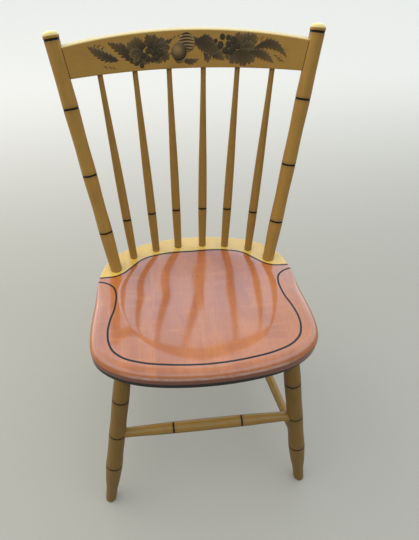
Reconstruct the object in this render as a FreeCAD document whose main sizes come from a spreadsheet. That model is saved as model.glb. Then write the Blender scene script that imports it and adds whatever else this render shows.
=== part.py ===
import FreeCAD, Part

import math
import os

import Sketcher

# Painted side chair with a plank seat, bamboo-style turnings and a bowed crest rail.
# Millimetres, +Z up, +Y to the back, left and right as seen from the front.
# The origin is on the floor, in the middle of the chair's outer box.

Vector = FreeCAD.Vector

# Driving sizes, each one cell of the sheet: name, value, meaning.
SIZES = (
    ("seat_height", 445.0, "floor to the flat deck at the back of the seat"),
    ("seat_width", 430.0, "widest part of the seat"),
    ("seat_depth", 368.0, "front edge to back edge of the seat"),
    ("seat_thickness", 38.0, "thickness of the glued plank"),
    ("seat_back_reach", 169.5, "origin to the back edge of the seat"),
    ("seat_shift", 2.0, "middle of the seat to the right of the chair's middle"),
    ("dish_depth", 13.0, "deepest hollow of the seat below the deck"),
    ("carving_lift", 0.4, "the carving surface above the deck, where it cuts nothing"),
    ("seat_roll", 18.0, "rounding of the upper edge at the front and the sides"),
    ("deck_round", 3.0, "rounding of the upper edge round the deck"),
    ("seat_foot_round", 5.0, "rounding of the lower edge"),
    ("first_seam", -94.0, "glue line left of the middle"),
    ("second_seam", -8.0, "glue line near the middle"),
    ("third_seam", 72.0, "glue line right of the middle"),
    ("glue_gap", 0.1, "radial clearance of every glued joint"),
    ("front_leg_inset", 40.3, "front edge to the leg, at the underside"),
    ("front_leg_side_inset", 59.8, "widest part to the leg, at the underside"),
    ("front_splay_out", 74.2, "how far the front foot stands out sideways"),
    ("front_splay_ahead", 75.7, "how far the front foot stands ahead"),
    ("rear_leg_inset", 88.0, "back edge to the rear leg, at the underside"),
    ("rear_leg_side_inset", 98.0, "widest part to the rear leg"),
    ("rear_splay_out", 59.0, "how far the rear foot stands out sideways"),
    ("rear_splay_back", 90.0, "how far the rear foot stands behind"),
    ("leg_socket_depth", 22.0, "leg inside the seat"),
    ("leg_foot_across", 23.8, "leg at the floor"),
    ("leg_ankle_across", 26.0, "leg above the foot"),
    ("leg_calf_across", 30.2, "leg where it starts to swell"),
    ("leg_shin_across", 33.5, "leg under its lowest ring"),
    ("leg_low_ring_across", 36.0, "leg at its lowest ring"),
    ("leg_waist_across", 33.4, "leg between its lower rings"),
    ("leg_middle_ring_across", 33.8, "leg at its middle ring"),
    ("leg_thigh_across", 32.0, "leg between its upper rings"),
    ("leg_top_ring_across", 32.7, "leg at its top ring"),
    ("leg_neck_across", 31.0, "leg just under the seat"),
    ("leg_top_across", 29.0, "leg inside the seat"),
    ("foot_chamfer", 1.0, "bevel round the foot"),
    ("post_inset", 86.2, "back edge to the post, at the deck"),
    ("post_side_inset", 51.6, "widest part to the post, at the deck"),
    ("post_lean_out", 51.9, "sideways lean up to the top ring"),
    ("post_lean_back", 111.8, "backward lean up to the top ring"),
    ("post_ring_height", 394.4, "deck to the top ring"),
    ("post_socket_depth", 24.0, "post inside the seat"),
    ("post_foot_across", 24.0, "post at the deck"),
    ("post_ring_across", 26.8, "post at its lower rings"),
    ("post_waist_across", 25.2, "post between its rings"),
    ("post_top_ring_across", 25.4, "post at its top ring"),
    ("post_dome_across", 26.0, "domed top at its wall"),
    ("post_crown_across", 17.0, "flat crown of the domed top, before it is rounded"),
    ("post_wall_height", 6.0, "straight wall of the domed top above the top ring"),
    ("post_dome_height", 12.3, "domed top above the top ring"),
    ("post_dome_round", 4.5, "rounding of the domed top"),
    ("rail_rise", 339.2, "deck to the rail's lower edge, in the middle"),
    ("rail_height", 54.7, "rail in its middle"),
    ("rail_arch", 8.4, "upper edge, lower at its ends than in the middle"),
    ("rail_sag", 2.2, "lower edge, higher at its ends than in the middle"),
    ("rail_bow", 42.0, "how far the rail bows back between the posts"),
    ("rail_thickness", 14.5, "rail from front to back, level"),
    ("rail_round", 2.0, "rounding of the upper edges"),
    ("tenon_thickness", 9.0, "tongue at each end of the rail"),
    ("tenon_shoulder", 5.0, "rail above and below its tongue"),
    ("tenon_reach", 5.0, "tongue past the post's axis"),
    ("pin_across", 2.4, "brad that locks the rail's tongue"),
    ("pin_length", 19.0, "brad, from the face of the post"),
    ("pin_drop", 7.8, "upper end of the rail down to the brad"),
    ("pin_inset", 1.2, "brad from the post's axis towards the middle"),
    ("spindle_foot_across", 15.8, "spindle at the deck"),
    ("spindle_ring_across", 17.8, "spindle at its ring"),
    ("spindle_swell_across", 17.5, "spindle above its ring"),
    ("spindle_waist_across", 16.1, "spindle at half its height"),
    ("spindle_neck_across", 12.8, "spindle where it thins"),
    ("spindle_top_across", 9.2, "spindle at the rail"),
    ("spindle_foot_depth", 20.0, "spindle inside the seat"),
    ("spindle_top_depth", 18.0, "spindle inside the rail"),
    ("inner_foot_inset", 27.3, "back edge to the inner spindle"),
    ("second_foot_inset", 34.1, "back edge to the second spindle"),
    ("outer_foot_inset", 52.5, "back edge to the outer spindle"),
    ("front_stretcher_height", 243.5, "floor to the front stretcher"),
    ("side_stretcher_height", 160.0, "floor to the side stretchers"),
    ("rear_stretcher_height", 225.0, "floor to the rear stretcher"),
    ("stretcher_end_across", 20.2, "front stretcher at the legs"),
    ("stretcher_ring_across", 24.0, "front stretcher at its rings"),
    ("stretcher_middle_across", 24.4, "front stretcher at its middle"),
    ("plain_end_across", 17.5, "side and rear stretchers at the legs"),
    ("plain_middle_across", 20.0, "side and rear stretchers at their middle"),
    ("stretcher_stop", 1.2, "end of a stretcher to the leg's axis"),
    ("ring_width", 2.4, "scored ring"),
    ("ring_cut", 0.5, "depth of a scored ring"),
    ("tool_overrun", 5.0, "how far a cutting shape runs past the wood"),
)

# Stations along a turning are shares of its length between the surfaces that it joins.
# The places of the spindles are shares of the way from the chair's middle to the post's axis.
SHARES = (
    ("leg_ankle_share", 0.116),
    ("leg_calf_share", 0.175),
    ("leg_shin_share", 0.243),
    ("leg_low_ring_share", 0.342),
    ("leg_waist_share", 0.465),
    ("leg_middle_ring_share", 0.603),
    ("leg_thigh_share", 0.720),
    ("leg_top_ring_share", 0.856),
    ("leg_neck_share", 0.945),
    ("post_low_ring_share", 0.206),
    ("post_low_waist_share", 0.335),
    ("post_middle_ring_share", 0.482),
    ("post_middle_waist_share", 0.620),
    ("post_high_ring_share", 0.757),
    ("post_high_waist_share", 0.875),
    ("spindle_ring_share", 0.249),
    ("spindle_swell_share", 0.330),
    ("spindle_waist_share", 0.510),
    ("spindle_neck_share", 0.710),
    ("inner_foot_share", 0.1652),
    ("second_foot_share", 0.4663),
    ("outer_foot_share", 0.7693),
    ("inner_top_share", 0.1452),
    ("second_top_share", 0.4317),
    ("outer_top_share", 0.7157),
    ("stretcher_end_share", 0.060),
    ("stretcher_ring_share", 0.310),
)

# Half of the seat's outline, front to back: half widths across, depths along.
OUTLINE_SHARES = (
    (0.000, 0.000),
    (0.230, 0.005),
    (0.425, 0.018),
    (0.583, 0.037),
    (0.726, 0.066),
    (0.860, 0.112),
    (0.962, 0.180),
    (1.000, 0.280),
    (0.996, 0.391),
    (0.979, 0.484),
    (0.955, 0.582),
    (0.936, 0.671),
    (0.906, 0.750),
    (0.858, 0.817),
    (0.784, 0.874),
    (0.651, 0.926),
    (0.459, 0.967),
    (0.242, 0.992),
    (0.000, 1.000),
)

# The rolled edge thins between the outline's first points past these shares of the depth.
ROLL_END_SHARE = 0.48
DECK_START_SHARE = 0.66

# The hollow is a bowl. Its half width is a share of the seat's half width. The others are shares of
# the seat's depth: the way to its deepest place, its lengths ahead of and behind that place, and the
# distance over which one of these lengths gives way to the other.
DISH_SIDE_SHARE = 0.759
DISH_MIDDLE_SHARE = 0.566
DISH_AHEAD_SHARE = 0.560
DISH_BEHIND_SHARE = 0.350
DISH_CHANGE_SHARE = 0.1
DISH_CORNER_POWER = 1.66
DISH_WALL_POWER = 1.31

GRID_COLUMNS = 41
GRID_ROWS = 37
SHEET = "Sizes"

document = FreeCAD.newDocument("side_chair")
sheet = document.addObject("Spreadsheet::Sheet", SHEET)
for row, entry in enumerate(SIZES + SHARES, start=1):
    sheet.set("B" + str(row), str(entry[1]))
    sheet.setAlias("B" + str(row), entry[0])
document.recompute()

finished = []


def size(name):
    """The number in the sheet's cell of that name."""
    return float(sheet.get(name))


def cell(name):
    """The sheet's cell of that name, as it is written in an expression."""
    return SHEET + "." + name


HALF_WIDTH = size("seat_width") / 2
DEPTH = size("seat_depth")
TOP = size("seat_height")
UNDERSIDE = TOP - size("seat_thickness")
BACK = size("seat_back_reach")
FRONT = BACK - DEPTH
SEAT_MIDDLE = Vector(size("seat_shift"), 0, 0)
GAP = size("glue_gap")
OVERRUN = size("tool_overrun")


# Points and directions

def mirrored(point, side):
    """The point on the left, side -1, or on the right, side 1."""
    return Vector(side * point.x, point.y, point.z)


def along(start, end, distance):
    """The point at a distance from start on the way to end."""
    return start + (end - start).normalize() * distance


def at_height(start, end, height):
    """The point of a line at a height above the floor."""
    return start + (end - start) * ((height - start.z) / (end.z - start.z))


def upright_to(start, end):
    """A placement at start whose Z axis points to end."""
    return FreeCAD.Placement(start, FreeCAD.Rotation(Vector(0, 0, 1), end - start))


def span(*differences):
    """The length of a vector whose parts are given as expressions."""
    squares = ["(" + part + ") ^ 2" for part in differences]
    return "sqrt(" + " + ".join(squares) + ")"


FRONT_LEG_TOP = Vector(
    HALF_WIDTH - size("front_leg_side_inset"), FRONT + size("front_leg_inset"), UNDERSIDE
)
FRONT_FOOT = Vector(
    FRONT_LEG_TOP.x + size("front_splay_out"), FRONT_LEG_TOP.y - size("front_splay_ahead"), 0
)
REAR_LEG_TOP = Vector(
    HALF_WIDTH - size("rear_leg_side_inset"), BACK - size("rear_leg_inset"), UNDERSIDE
)
REAR_FOOT = Vector(
    REAR_LEG_TOP.x + size("rear_splay_out"), REAR_LEG_TOP.y + size("rear_splay_back"), 0
)
POST_FOOT = Vector(HALF_WIDTH - size("post_side_inset"), BACK - size("post_inset"), TOP)
POST_RING = POST_FOOT + Vector(
    size("post_lean_out"), size("post_lean_back"), size("post_ring_height")
)

# The rail bows on one circle in plan, through both post axes at the level of its lower edge.
RAIL_BOTTOM = TOP + size("rail_rise")
RAIL_END = at_height(POST_FOOT, POST_RING, RAIL_BOTTOM)
RAIL_TOP = RAIL_BOTTOM + size("rail_height")
RAIL_TOP_END = at_height(POST_FOOT, POST_RING, RAIL_TOP)
RAIL_END_BOTTOM = RAIL_BOTTOM + size("rail_sag")
RAIL_END_TOP = RAIL_TOP - size("rail_arch")
RAIL_BOW = size("rail_bow")
BOW_RADIUS = (RAIL_END.x ** 2 + RAIL_BOW ** 2) / (2 * RAIL_BOW)
BOW_CENTRE = RAIL_END.y + RAIL_BOW - BOW_RADIUS
RAIL_LEAN = size("post_lean_back") / size("post_ring_height")


def bow_depth(across):
    """How far back the rail's middle line lies, at a distance from the chair's middle."""
    return BOW_CENTRE + math.sqrt(BOW_RADIUS ** 2 - across ** 2)


# Turned pieces

def turning(name, stations):
    """A turned piece about its own Z axis. Each station gives its diameter and its place as expressions."""
    body = document.addObject("PartDesign::Body", name)
    plane = next(o for o in body.Origin.OriginFeatures if o.Role == "XZ_Plane")
    sketch = body.newObject("Sketcher::SketchObject", name + "_profile")
    sketch.AttachmentSupport = [(plane, "")]
    sketch.MapMode = "FlatFace"
    corners = [("0", stations[0][1])]
    corners += [("(" + across + ") / 2", place) for across, place in stations]
    corners += [("0", stations[-1][1])]
    count = len(corners)
    # The first shape is a rough comb. The constraints below give every corner its place.
    rough = [Vector(0 if i in (0, count - 1) else 1, i, 0) for i in range(count)]
    for i in range(count):
        sketch.addGeometry(Part.LineSegment(rough[i], rough[(i + 1) % count]), False)
    for i in range(count):
        sketch.addConstraint(Sketcher.Constraint("Coincident", i, 2, (i + 1) % count, 1))
    for i, (radius, place) in enumerate(corners):
        if radius == "0":
            sketch.addConstraint(Sketcher.Constraint("PointOnObject", i, 1, -2))
        else:
            bind(sketch, Sketcher.Constraint("DistanceX", -1, 1, i, 1, rough[i].x), radius)
        if place == "0":
            sketch.addConstraint(Sketcher.Constraint("PointOnObject", i, 1, -1))
        else:
            bind(sketch, Sketcher.Constraint("DistanceY", -1, 1, i, 1, rough[i].y), place)
    turned = body.newObject("PartDesign::Revolution", name + "_turned")
    turned.Profile = sketch
    turned.ReferenceAxis = (sketch, ["V_Axis"])
    turned.Angle = 360
    document.recompute()
    return body


def bind(sketch, constraint, expression):
    """Adds a measured constraint and ties its value to an expression."""
    index = sketch.addConstraint(constraint)
    sketch.setExpression("Constraints[" + str(index) + "]", expression)


def ring(across, place):
    """Three stations that score a ring round a turning."""
    half = cell("ring_width") + " / 2"
    return [
        (across, "(" + place + ") - " + half),
        (across + " - 2 * " + cell("ring_cut"), place),
        (across, "(" + place + ") + " + half),
    ]


def pin_shape(name, start, end, across, gap="0"):
    """A cylinder from start to end. Its diameter is an expression, and gap grows its radius."""
    pin = document.addObject("Part::Cylinder", name)
    pin.setExpression("Radius", "(" + across + ") / 2 + " + gap)
    pin.Height = (end - start).Length
    pin.Placement = upright_to(start, end)
    return pin


def cut_from(name, base, tools):
    """The base less all the tools."""
    tool = tools[0]
    if len(tools) > 1:
        tool = document.addObject("Part::MultiFuse", name + "_tools")
        tool.Shapes = tools
    result = document.addObject("Part::Cut", name)
    result.Base = base
    result.Tool = tool
    return result


def finish(piece, label):
    """Gives a piece its own label and puts it on the list of files."""
    piece.Label = label
    finished.append(piece)


def socket(name, start, end, across):
    """The bore for a glued pin, with its clearance."""
    return pin_shape(name, start, end, across, cell("glue_gap"))


# Stretchers run from leg axis to leg axis and stop short of both.

def stretcher_ends(first, second):
    """The two ends of a stretcher between two points on leg axes."""
    stop = size("stretcher_stop")
    return along(first, second, stop), along(second, first, stop)


def leg_point(top, foot, side, height):
    """The point on a leg's axis at a height."""
    return mirrored(at_height(foot, top, height), side)


def stretcher(label, first, second, end_across, middle_across, ring_across=None):
    """A turned stretcher, swelled at its middle, with two rings where ring_across is given."""
    start, end = stretcher_ends(first, second)
    length = str((end - start).Length)
    near = length + " * " + cell("stretcher_end_share")
    far = length + " * (1 - " + cell("stretcher_end_share") + ")"
    stations = [(end_across, "0"), (end_across, near)]
    if ring_across:
        stations += ring(ring_across, length + " * " + cell("stretcher_ring_share"))
    stations += [(middle_across, length + " / 2")]
    if ring_across:
        stations += ring(ring_across, length + " * (1 - " + cell("stretcher_ring_share") + ")")
    stations += [(end_across, far), (end_across, length)]
    piece = turning(label + "_wood", stations)
    piece.Placement = upright_to(start, end)
    finish(piece, label)


def stretcher_sockets(name, first, second, across):
    """The bores in the two legs for one stretcher, each open towards the other leg."""
    stop = size("stretcher_stop") - GAP
    reach = size("leg_low_ring_across")
    near = socket(name + "_near", along(first, second, stop), along(first, second, reach), across)
    far = socket(name + "_far", along(second, first, stop), along(second, first, reach), across)
    return near, far


SIDES = (("left", -1), ("right", 1))
end_word = cell("stretcher_end_across")
plain_word = cell("plain_end_across")
leg_bores = {name: [] for name in ("front_left", "front_right", "rear_left", "rear_right")}

front_points = [
    leg_point(FRONT_LEG_TOP, FRONT_FOOT, side, size("front_stretcher_height")) for _, side in SIDES
]
stretcher(
    "stretcher_front",
    *front_points,
    end_word,
    cell("stretcher_middle_across"),
    cell("stretcher_ring_across"),
)
near, far = stretcher_sockets("bore_front", *front_points, end_word)
leg_bores["front_left"].append(near)
leg_bores["front_right"].append(far)

rear_points = [
    leg_point(REAR_LEG_TOP, REAR_FOOT, side, size("rear_stretcher_height")) for _, side in SIDES
]
stretcher("stretcher_rear", *rear_points, plain_word, cell("plain_middle_across"))
near, far = stretcher_sockets("bore_rear", *rear_points, plain_word)
leg_bores["rear_left"].append(near)
leg_bores["rear_right"].append(far)

for word, side in SIDES:
    side_points = (
        leg_point(FRONT_LEG_TOP, FRONT_FOOT, side, size("side_stretcher_height")),
        leg_point(REAR_LEG_TOP, REAR_FOOT, side, size("side_stretcher_height")),
    )
    stretcher("stretcher_" + word, *side_points, plain_word, cell("plain_middle_across"))
    near, far = stretcher_sockets("bore_side_" + word, *side_points, plain_word)
    leg_bores["front_" + word].append(near)
    leg_bores["rear_" + word].append(far)


# Legs stand on the floor and run into blind sockets in the seat's underside.

def floor_block():
    """A block under the floor that trims the feet level."""
    block = document.addObject("Part::Box", "floor_block")
    reach = HALF_WIDTH + size("front_splay_out") + size("leg_foot_across")
    block.Length = 2 * reach
    block.Width = 2 * reach + DEPTH
    block.Height = size("leg_foot_across")
    block.Placement.Base = Vector(-reach, -block.Width.Value / 2, -block.Height.Value)
    return block


def leg(label, top, foot, bores, floor, splay_out, splay_along):
    """One leg: a turning that starts below the floor, trimmed level and bored for its stretchers."""
    below = cell("leg_foot_across") + " / 2"
    length = span(splay_out, splay_along, cell("seat_thickness") + " - " + cell("seat_height"))
    stations = [(cell("leg_foot_across"), "0"), (cell("leg_foot_across"), below)]
    for name in ("ankle", "calf", "shin", "low_ring", "waist", "middle_ring", "thigh", "top_ring", "neck"):
        across = cell("leg_" + name + "_across")
        place = below + " + " + length + " * " + cell("leg_" + name + "_share")
        stations += ring(across, place) if name.endswith("ring") else [(across, place)]
    top_place = below + " + " + length
    stations += [(cell("leg_top_across"), top_place)]
    stations += [(cell("leg_top_across"), top_place + " + " + cell("leg_socket_depth"))]
    wood = turning(label + "_wood", stations)
    wood.Placement = upright_to(along(foot, top, -size("leg_foot_across") / 2), top)
    trimmed = cut_from(label + "_trimmed", wood, [floor, *bores])
    document.recompute()
    edges = trimmed.Shape.Edges
    sole = [i for i, edge in enumerate(edges, start=1) if edge.BoundBox.ZMax < GAP]
    bevelled = document.addObject("Part::Chamfer", label + "_bevelled")
    bevelled.Base = trimmed
    bevelled.Edges = [(i, size("foot_chamfer"), size("foot_chamfer")) for i in sole]
    finish(bevelled, label)


floor = floor_block()
seat_bores = []
for word, side in SIDES:
    for end_name, top, foot, out_word, along_word in (
        ("front", FRONT_LEG_TOP, FRONT_FOOT, "front_splay_out", "front_splay_ahead"),
        ("rear", REAR_LEG_TOP, REAR_FOOT, "rear_splay_out", "rear_splay_back"),
    ):
        name = end_name + "_" + word
        leg_top, leg_foot = mirrored(top, side), mirrored(foot, side)
        leg("leg_" + name, leg_top, leg_foot, leg_bores[name], floor, cell(out_word), cell(along_word))
        deep = size("leg_socket_depth") + GAP
        seat_bores.append(
            socket(
                "seat_bore_" + name,
                along(leg_top, leg_foot, OVERRUN),
                along(leg_top, leg_foot, -deep),
                cell("leg_top_across"),
            )
        )


# Crest rail, its tongues and the brads through them.

def bow_band(name, half_thickness, half_width, bottom, height):
    """A bowed band of even thickness, sheared back as it rises. Its ends are square to the bow."""
    inner = BOW_RADIUS - half_thickness
    outer = BOW_RADIUS + half_thickness
    shift = RAIL_LEAN * (bottom - RAIL_BOTTOM)
    turn = math.asin(half_width / BOW_RADIUS)

    def plan(angle, radius):
        back = BOW_CENTRE + radius * math.cos(angle) + shift
        return Vector(radius * math.sin(angle), back, bottom)

    edges = [
        Part.Arc(plan(-turn, outer), plan(0, outer), plan(turn, outer)).toShape(),
        Part.LineSegment(plan(turn, outer), plan(turn, inner)).toShape(),
        Part.Arc(plan(turn, inner), plan(0, inner), plan(-turn, inner)).toShape(),
        Part.LineSegment(plan(-turn, inner), plan(-turn, outer)).toShape(),
    ]
    outline = document.addObject("Part::Feature", name + "_outline")
    outline.Shape = Part.Face(Part.Wire(edges))
    band = document.addObject("Part::Extrusion", name)
    band.Base = outline
    band.DirMode = "Custom"
    band.Dir = Vector(0, RAIL_LEAN, 1)
    band.LengthFwd = height * math.sqrt(1 + RAIL_LEAN ** 2)
    band.Solid = True
    return band


def arch_block(name, middle_height, end_height, far_height):
    """The space between one arched edge of the rail and a level away from the rail."""
    reach = RAIL_TOP_END.x + size("post_dome_across")
    ahead = BOW_CENTRE
    side_height = middle_height + (end_height - middle_height) * (reach / RAIL_END.x) ** 2
    left, right = Vector(-reach, ahead, side_height), Vector(reach, ahead, side_height)
    far_left, far_right = Vector(-reach, ahead, far_height), Vector(reach, ahead, far_height)
    edges = [
        Part.Arc(left, Vector(0, ahead, middle_height), right).toShape(),
        Part.LineSegment(right, far_right).toShape(),
        Part.LineSegment(far_right, far_left).toShape(),
        Part.LineSegment(far_left, left).toShape(),
    ]
    outline = document.addObject("Part::Feature", name + "_outline")
    outline.Shape = Part.Face(Part.Wire(edges))
    block = document.addObject("Part::Extrusion", name)
    block.Base = outline
    block.DirMode = "Custom"
    block.Dir = Vector(0, 1, 0)
    block.LengthFwd = 2 * BOW_RADIUS
    block.Solid = True
    return block


def post_line(side):
    """The post's axis from the deck to its top ring."""
    return mirrored(POST_FOOT, side), mirrored(POST_RING, side)


def tongue_band(name, gap):
    """The band that both tongues are ends of, grown by a gap."""
    half_width = (RAIL_END.x + RAIL_TOP_END.x) / 2 + size("tenon_reach")
    bottom = RAIL_END_BOTTOM + size("tenon_shoulder")
    height = RAIL_END_TOP - size("tenon_shoulder") - bottom
    half_thickness = size("tenon_thickness") / 2
    return bow_band(name, half_thickness + gap, half_width + gap, bottom - gap, height + 2 * gap)


def pin_line(side):
    """The brad's axis: level, from just inside the face of the post back through the tongue."""
    foot, top = post_line(side)
    axis = at_height(foot, top, RAIL_END_TOP - size("pin_drop"))
    middle = axis - Vector(side * size("pin_inset"), 0, 0)
    start = middle - Vector(0, size("post_top_ring_across") / 2, 0)
    return start, start + Vector(0, size("pin_length"), 0)


full_height = RAIL_TOP - RAIL_BOTTOM + 2 * OVERRUN
rail_body = bow_band(
    "rail_band", size("rail_thickness") / 2, RAIL_TOP_END.x, RAIL_BOTTOM - OVERRUN, full_height
)
ceiling, cellar = RAIL_TOP + full_height, RAIL_BOTTOM - full_height
above = arch_block("space_above_rail", RAIL_TOP, RAIL_END_TOP, ceiling)
below = arch_block("space_below_rail", RAIL_BOTTOM, RAIL_END_BOTTOM, cellar)
rail_arched = cut_from("rail_arched", rail_body, [above, below])
document.recompute()


def upper_edges(shape):
    """The two long upper edges of the arched rail."""
    longest = sorted(enumerate(shape.Edges, start=1), key=lambda entry: -entry[1].BoundBox.ZMax)
    return [index for index, edge in longest if edge.BoundBox.XLength > RAIL_END.x][:2]


rail_rounded = document.addObject("Part::Fillet", "rail_rounded")
rail_rounded.Base = rail_arched
rail_rounded.Edges = [
    (index, size("rail_round"), size("rail_round")) for index in upper_edges(rail_arched.Shape)
]
post_spaces = []
for word, side in SIDES:
    foot, top = post_line(side)
    post_spaces.append(
        socket("post_space_" + word, foot, along(top, foot, -full_height), cell("post_top_ring_across"))
    )
rail_coped = cut_from("rail_coped", rail_rounded, post_spaces)
rail_tongued = document.addObject("Part::Fuse", "rail_tongued")
rail_tongued.Base = rail_coped
rail_tongued.Tool = tongue_band("tongues", 0)


# Spindles

SPINDLES = (
    ("outer", -1),
    ("second", -1),
    ("inner", -1),
    ("inner", 1),
    ("second", 1),
    ("outer", 1),
)
rail_bores = []
for number, (place, side) in enumerate(SPINDLES, start=1):
    foot_out = POST_FOOT.x * size(place + "_foot_share")
    foot = Vector(side * foot_out, BACK - size(place + "_foot_inset"), TOP)
    top_out = RAIL_END.x * size(place + "_top_share")
    top = Vector(side * top_out, bow_depth(top_out), RAIL_BOTTOM)
    visible = str((top - foot).Length)
    sunk = cell("spindle_foot_depth")
    stations = [(cell("spindle_foot_across"), "0"), (cell("spindle_foot_across"), sunk)]
    for name in ("ring", "swell", "waist", "neck"):
        across = cell("spindle_" + name + "_across")
        station = sunk + " + " + visible + " * " + cell("spindle_" + name + "_share")
        stations += ring(across, station) if name == "ring" else [(across, station)]
    end = sunk + " + " + visible
    stations += [(cell("spindle_top_across"), end)]
    stations += [(cell("spindle_top_across"), end + " + " + cell("spindle_top_depth"))]
    wood = turning("spindle_wood_" + str(number), stations)
    wood.Placement = upright_to(along(foot, top, -size("spindle_foot_depth")), top)
    finish(wood, "spindle_" + str(number))
    seat_bores.append(
        socket(
            "seat_bore_spindle_" + str(number),
            along(foot, top, -size("spindle_foot_depth") - GAP),
            along(foot, top, OVERRUN),
            cell("spindle_foot_across"),
        )
    )
    rail_bores.append(
        socket(
            "rail_bore_" + str(number),
            along(top, foot, OVERRUN),
            along(top, foot, -size("spindle_top_depth") - GAP),
            cell("spindle_top_across"),
        )
    )


# Brads, and the rail bored for them and for the spindles

pins = []
pin_bores = {}
for word, side in SIDES:
    start, end = pin_line(side)
    pins.append(pin_shape("pin_" + word, start, end, cell("pin_across")))
    pin_bores[word] = socket(
        "pin_bore_" + word, start - Vector(0, OVERRUN, 0), end + Vector(0, GAP, 0), cell("pin_across")
    )
crest_pins = document.addObject("Part::Compound", "crest_pin_pair")
crest_pins.Links = pins
finish(crest_pins, "crest_pins")
rail = cut_from("rail_bored", rail_tongued, rail_bores + list(pin_bores.values()))
finish(rail, "crest_rail")


# Posts

def post(word, side, mortise):
    """One post: a domed turning with four rings, mortised for the rail's tongue."""
    foot, top = post_line(side)
    sunk = cell("post_socket_depth")
    length = span(cell("post_lean_out"), cell("post_lean_back"), cell("post_ring_height"))
    stations = [(cell("post_foot_across"), "0"), (cell("post_foot_across"), sunk)]
    for name in ("low", "middle", "high"):
        ring_place = sunk + " + " + length + " * " + cell("post_" + name + "_ring_share")
        waist_place = sunk + " + " + length + " * " + cell("post_" + name + "_waist_share")
        stations += ring(cell("post_ring_across"), ring_place)
        stations += [(cell("post_waist_across"), waist_place)]
    top_place = sunk + " + " + length
    stations += ring(cell("post_top_ring_across"), top_place)
    stations += [(cell("post_dome_across"), top_place + " + " + cell("ring_width"))]
    stations += [(cell("post_dome_across"), top_place + " + " + cell("post_wall_height"))]
    stations += [(cell("post_crown_across"), top_place + " + " + cell("post_dome_height"))]
    wood = turning("post_wood_" + word, stations)
    turned = wood.Tip
    edges = enumerate(turned.Shape.Edges, start=1)
    rims = sorted((edge.BoundBox.ZMin, index) for index, edge in edges if edge.isClosed())
    dome_round = wood.newObject("PartDesign::Fillet", "dome_round_" + word)
    dome_round.Base = (turned, ["Edge" + str(index) for _, index in rims[-2:]])
    dome_round.setExpression("Radius", cell("post_dome_round"))
    wood.Tip = dome_round
    wood.Placement = upright_to(along(foot, top, -size("post_socket_depth")), top)
    piece = cut_from("post_mortised_" + word, wood, [mortise, pin_bores[word]])
    finish(piece, "post_" + word)
    seat_bores.append(
        socket(
            "seat_bore_post_" + word,
            along(foot, top, -size("post_socket_depth") - GAP),
            along(foot, top, OVERRUN),
            cell("post_foot_across"),
        )
    )


mortise_band = tongue_band("mortises", GAP)
for word, side in SIDES:
    post(word, side, mortise_band)


# Seat: one carved blank, bored, then parted along its glue lines into boards.

def outline_curve():
    """The seat's outline as one closed curve through its points, first point at the front."""
    half = [Vector(HALF_WIDTH * a, FRONT + DEPTH * b, 0) for a, b in OUTLINE_SHARES]
    other_half = [Vector(-p.x, p.y, 0) for p in reversed(half[1:-1])]
    curve = Part.BSplineCurve()
    curve.interpolate(Points=[p + SEAT_MIDDLE for p in half + other_half], PeriodicFlag=True)
    return curve


def hollow(x, y):
    """Depth of the bowl below the deck. It is deepest in its middle and ends smoothly at its rim."""
    behind = y - FRONT - DEPTH * DISH_MIDDLE_SHARE
    change = 0.5 + 0.5 * math.tanh(behind / (DEPTH * DISH_CHANGE_SHARE))
    reach = DEPTH * (DISH_AHEAD_SHARE * (1 - change) + DISH_BEHIND_SHARE * change)
    across = abs(x) / (HALF_WIDTH * DISH_SIDE_SHARE)
    powers = across ** DISH_CORNER_POWER + (abs(behind) / reach) ** DISH_CORNER_POWER
    inside = 1 - powers ** (2 / DISH_CORNER_POWER)
    return size("dish_depth") * max(inside, 0) ** DISH_WALL_POWER


def carving_block():
    """Everything above the carved top, over the whole seat."""
    margin = size("seat_roll") / 2
    rows = []
    for j in range(GRID_ROWS):
        y = FRONT - margin + (DEPTH + 2 * margin) * j / (GRID_ROWS - 1)
        row = []
        for i in range(GRID_COLUMNS):
            x = (HALF_WIDTH + margin) * (2 * i / (GRID_COLUMNS - 1) - 1)
            row.append(Vector(x, y, TOP - hollow(x, y) + size("carving_lift")) + SEAT_MIDDLE)
        rows.append(row)
    surface = Part.BSplineSurface()
    surface.interpolate(rows)
    return surface.toShape().extrude(Vector(0, 0, size("seat_thickness") + 2 * OVERRUN))


def outline_index(depth_share):
    """The number of the outline's first point past a share of the depth."""
    return next(i for i, (_, along_share) in enumerate(OUTLINE_SHARES) if along_share >= depth_share)


def seat_prism():
    """The outline's prism. Its outline is parted where the rounding of the upper edge changes."""
    curve = outline_curve()
    knots = curve.getKnots()
    last = len(knots) - 1
    thinning, deck_start = outline_index(ROLL_END_SHARE), outline_index(DECK_START_SHARE)
    breaks = [0, thinning, deck_start, last - deck_start, last - thinning, last]
    edges = [curve.toShape(knots[a], knots[b]) for a, b in zip(breaks, breaks[1:])]
    outline = Part.Face(Part.Wire(edges))
    outline.translate(Vector(0, 0, UNDERSIDE))
    return outline.extrude(Vector(0, 0, size("seat_thickness")))


def edge_round(point):
    """The rounding of the upper edge at one of its end points."""
    deck_start = FRONT + DEPTH * DECK_START_SHARE
    return size("deck_round") if point.y > deck_start else size("seat_roll")


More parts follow.
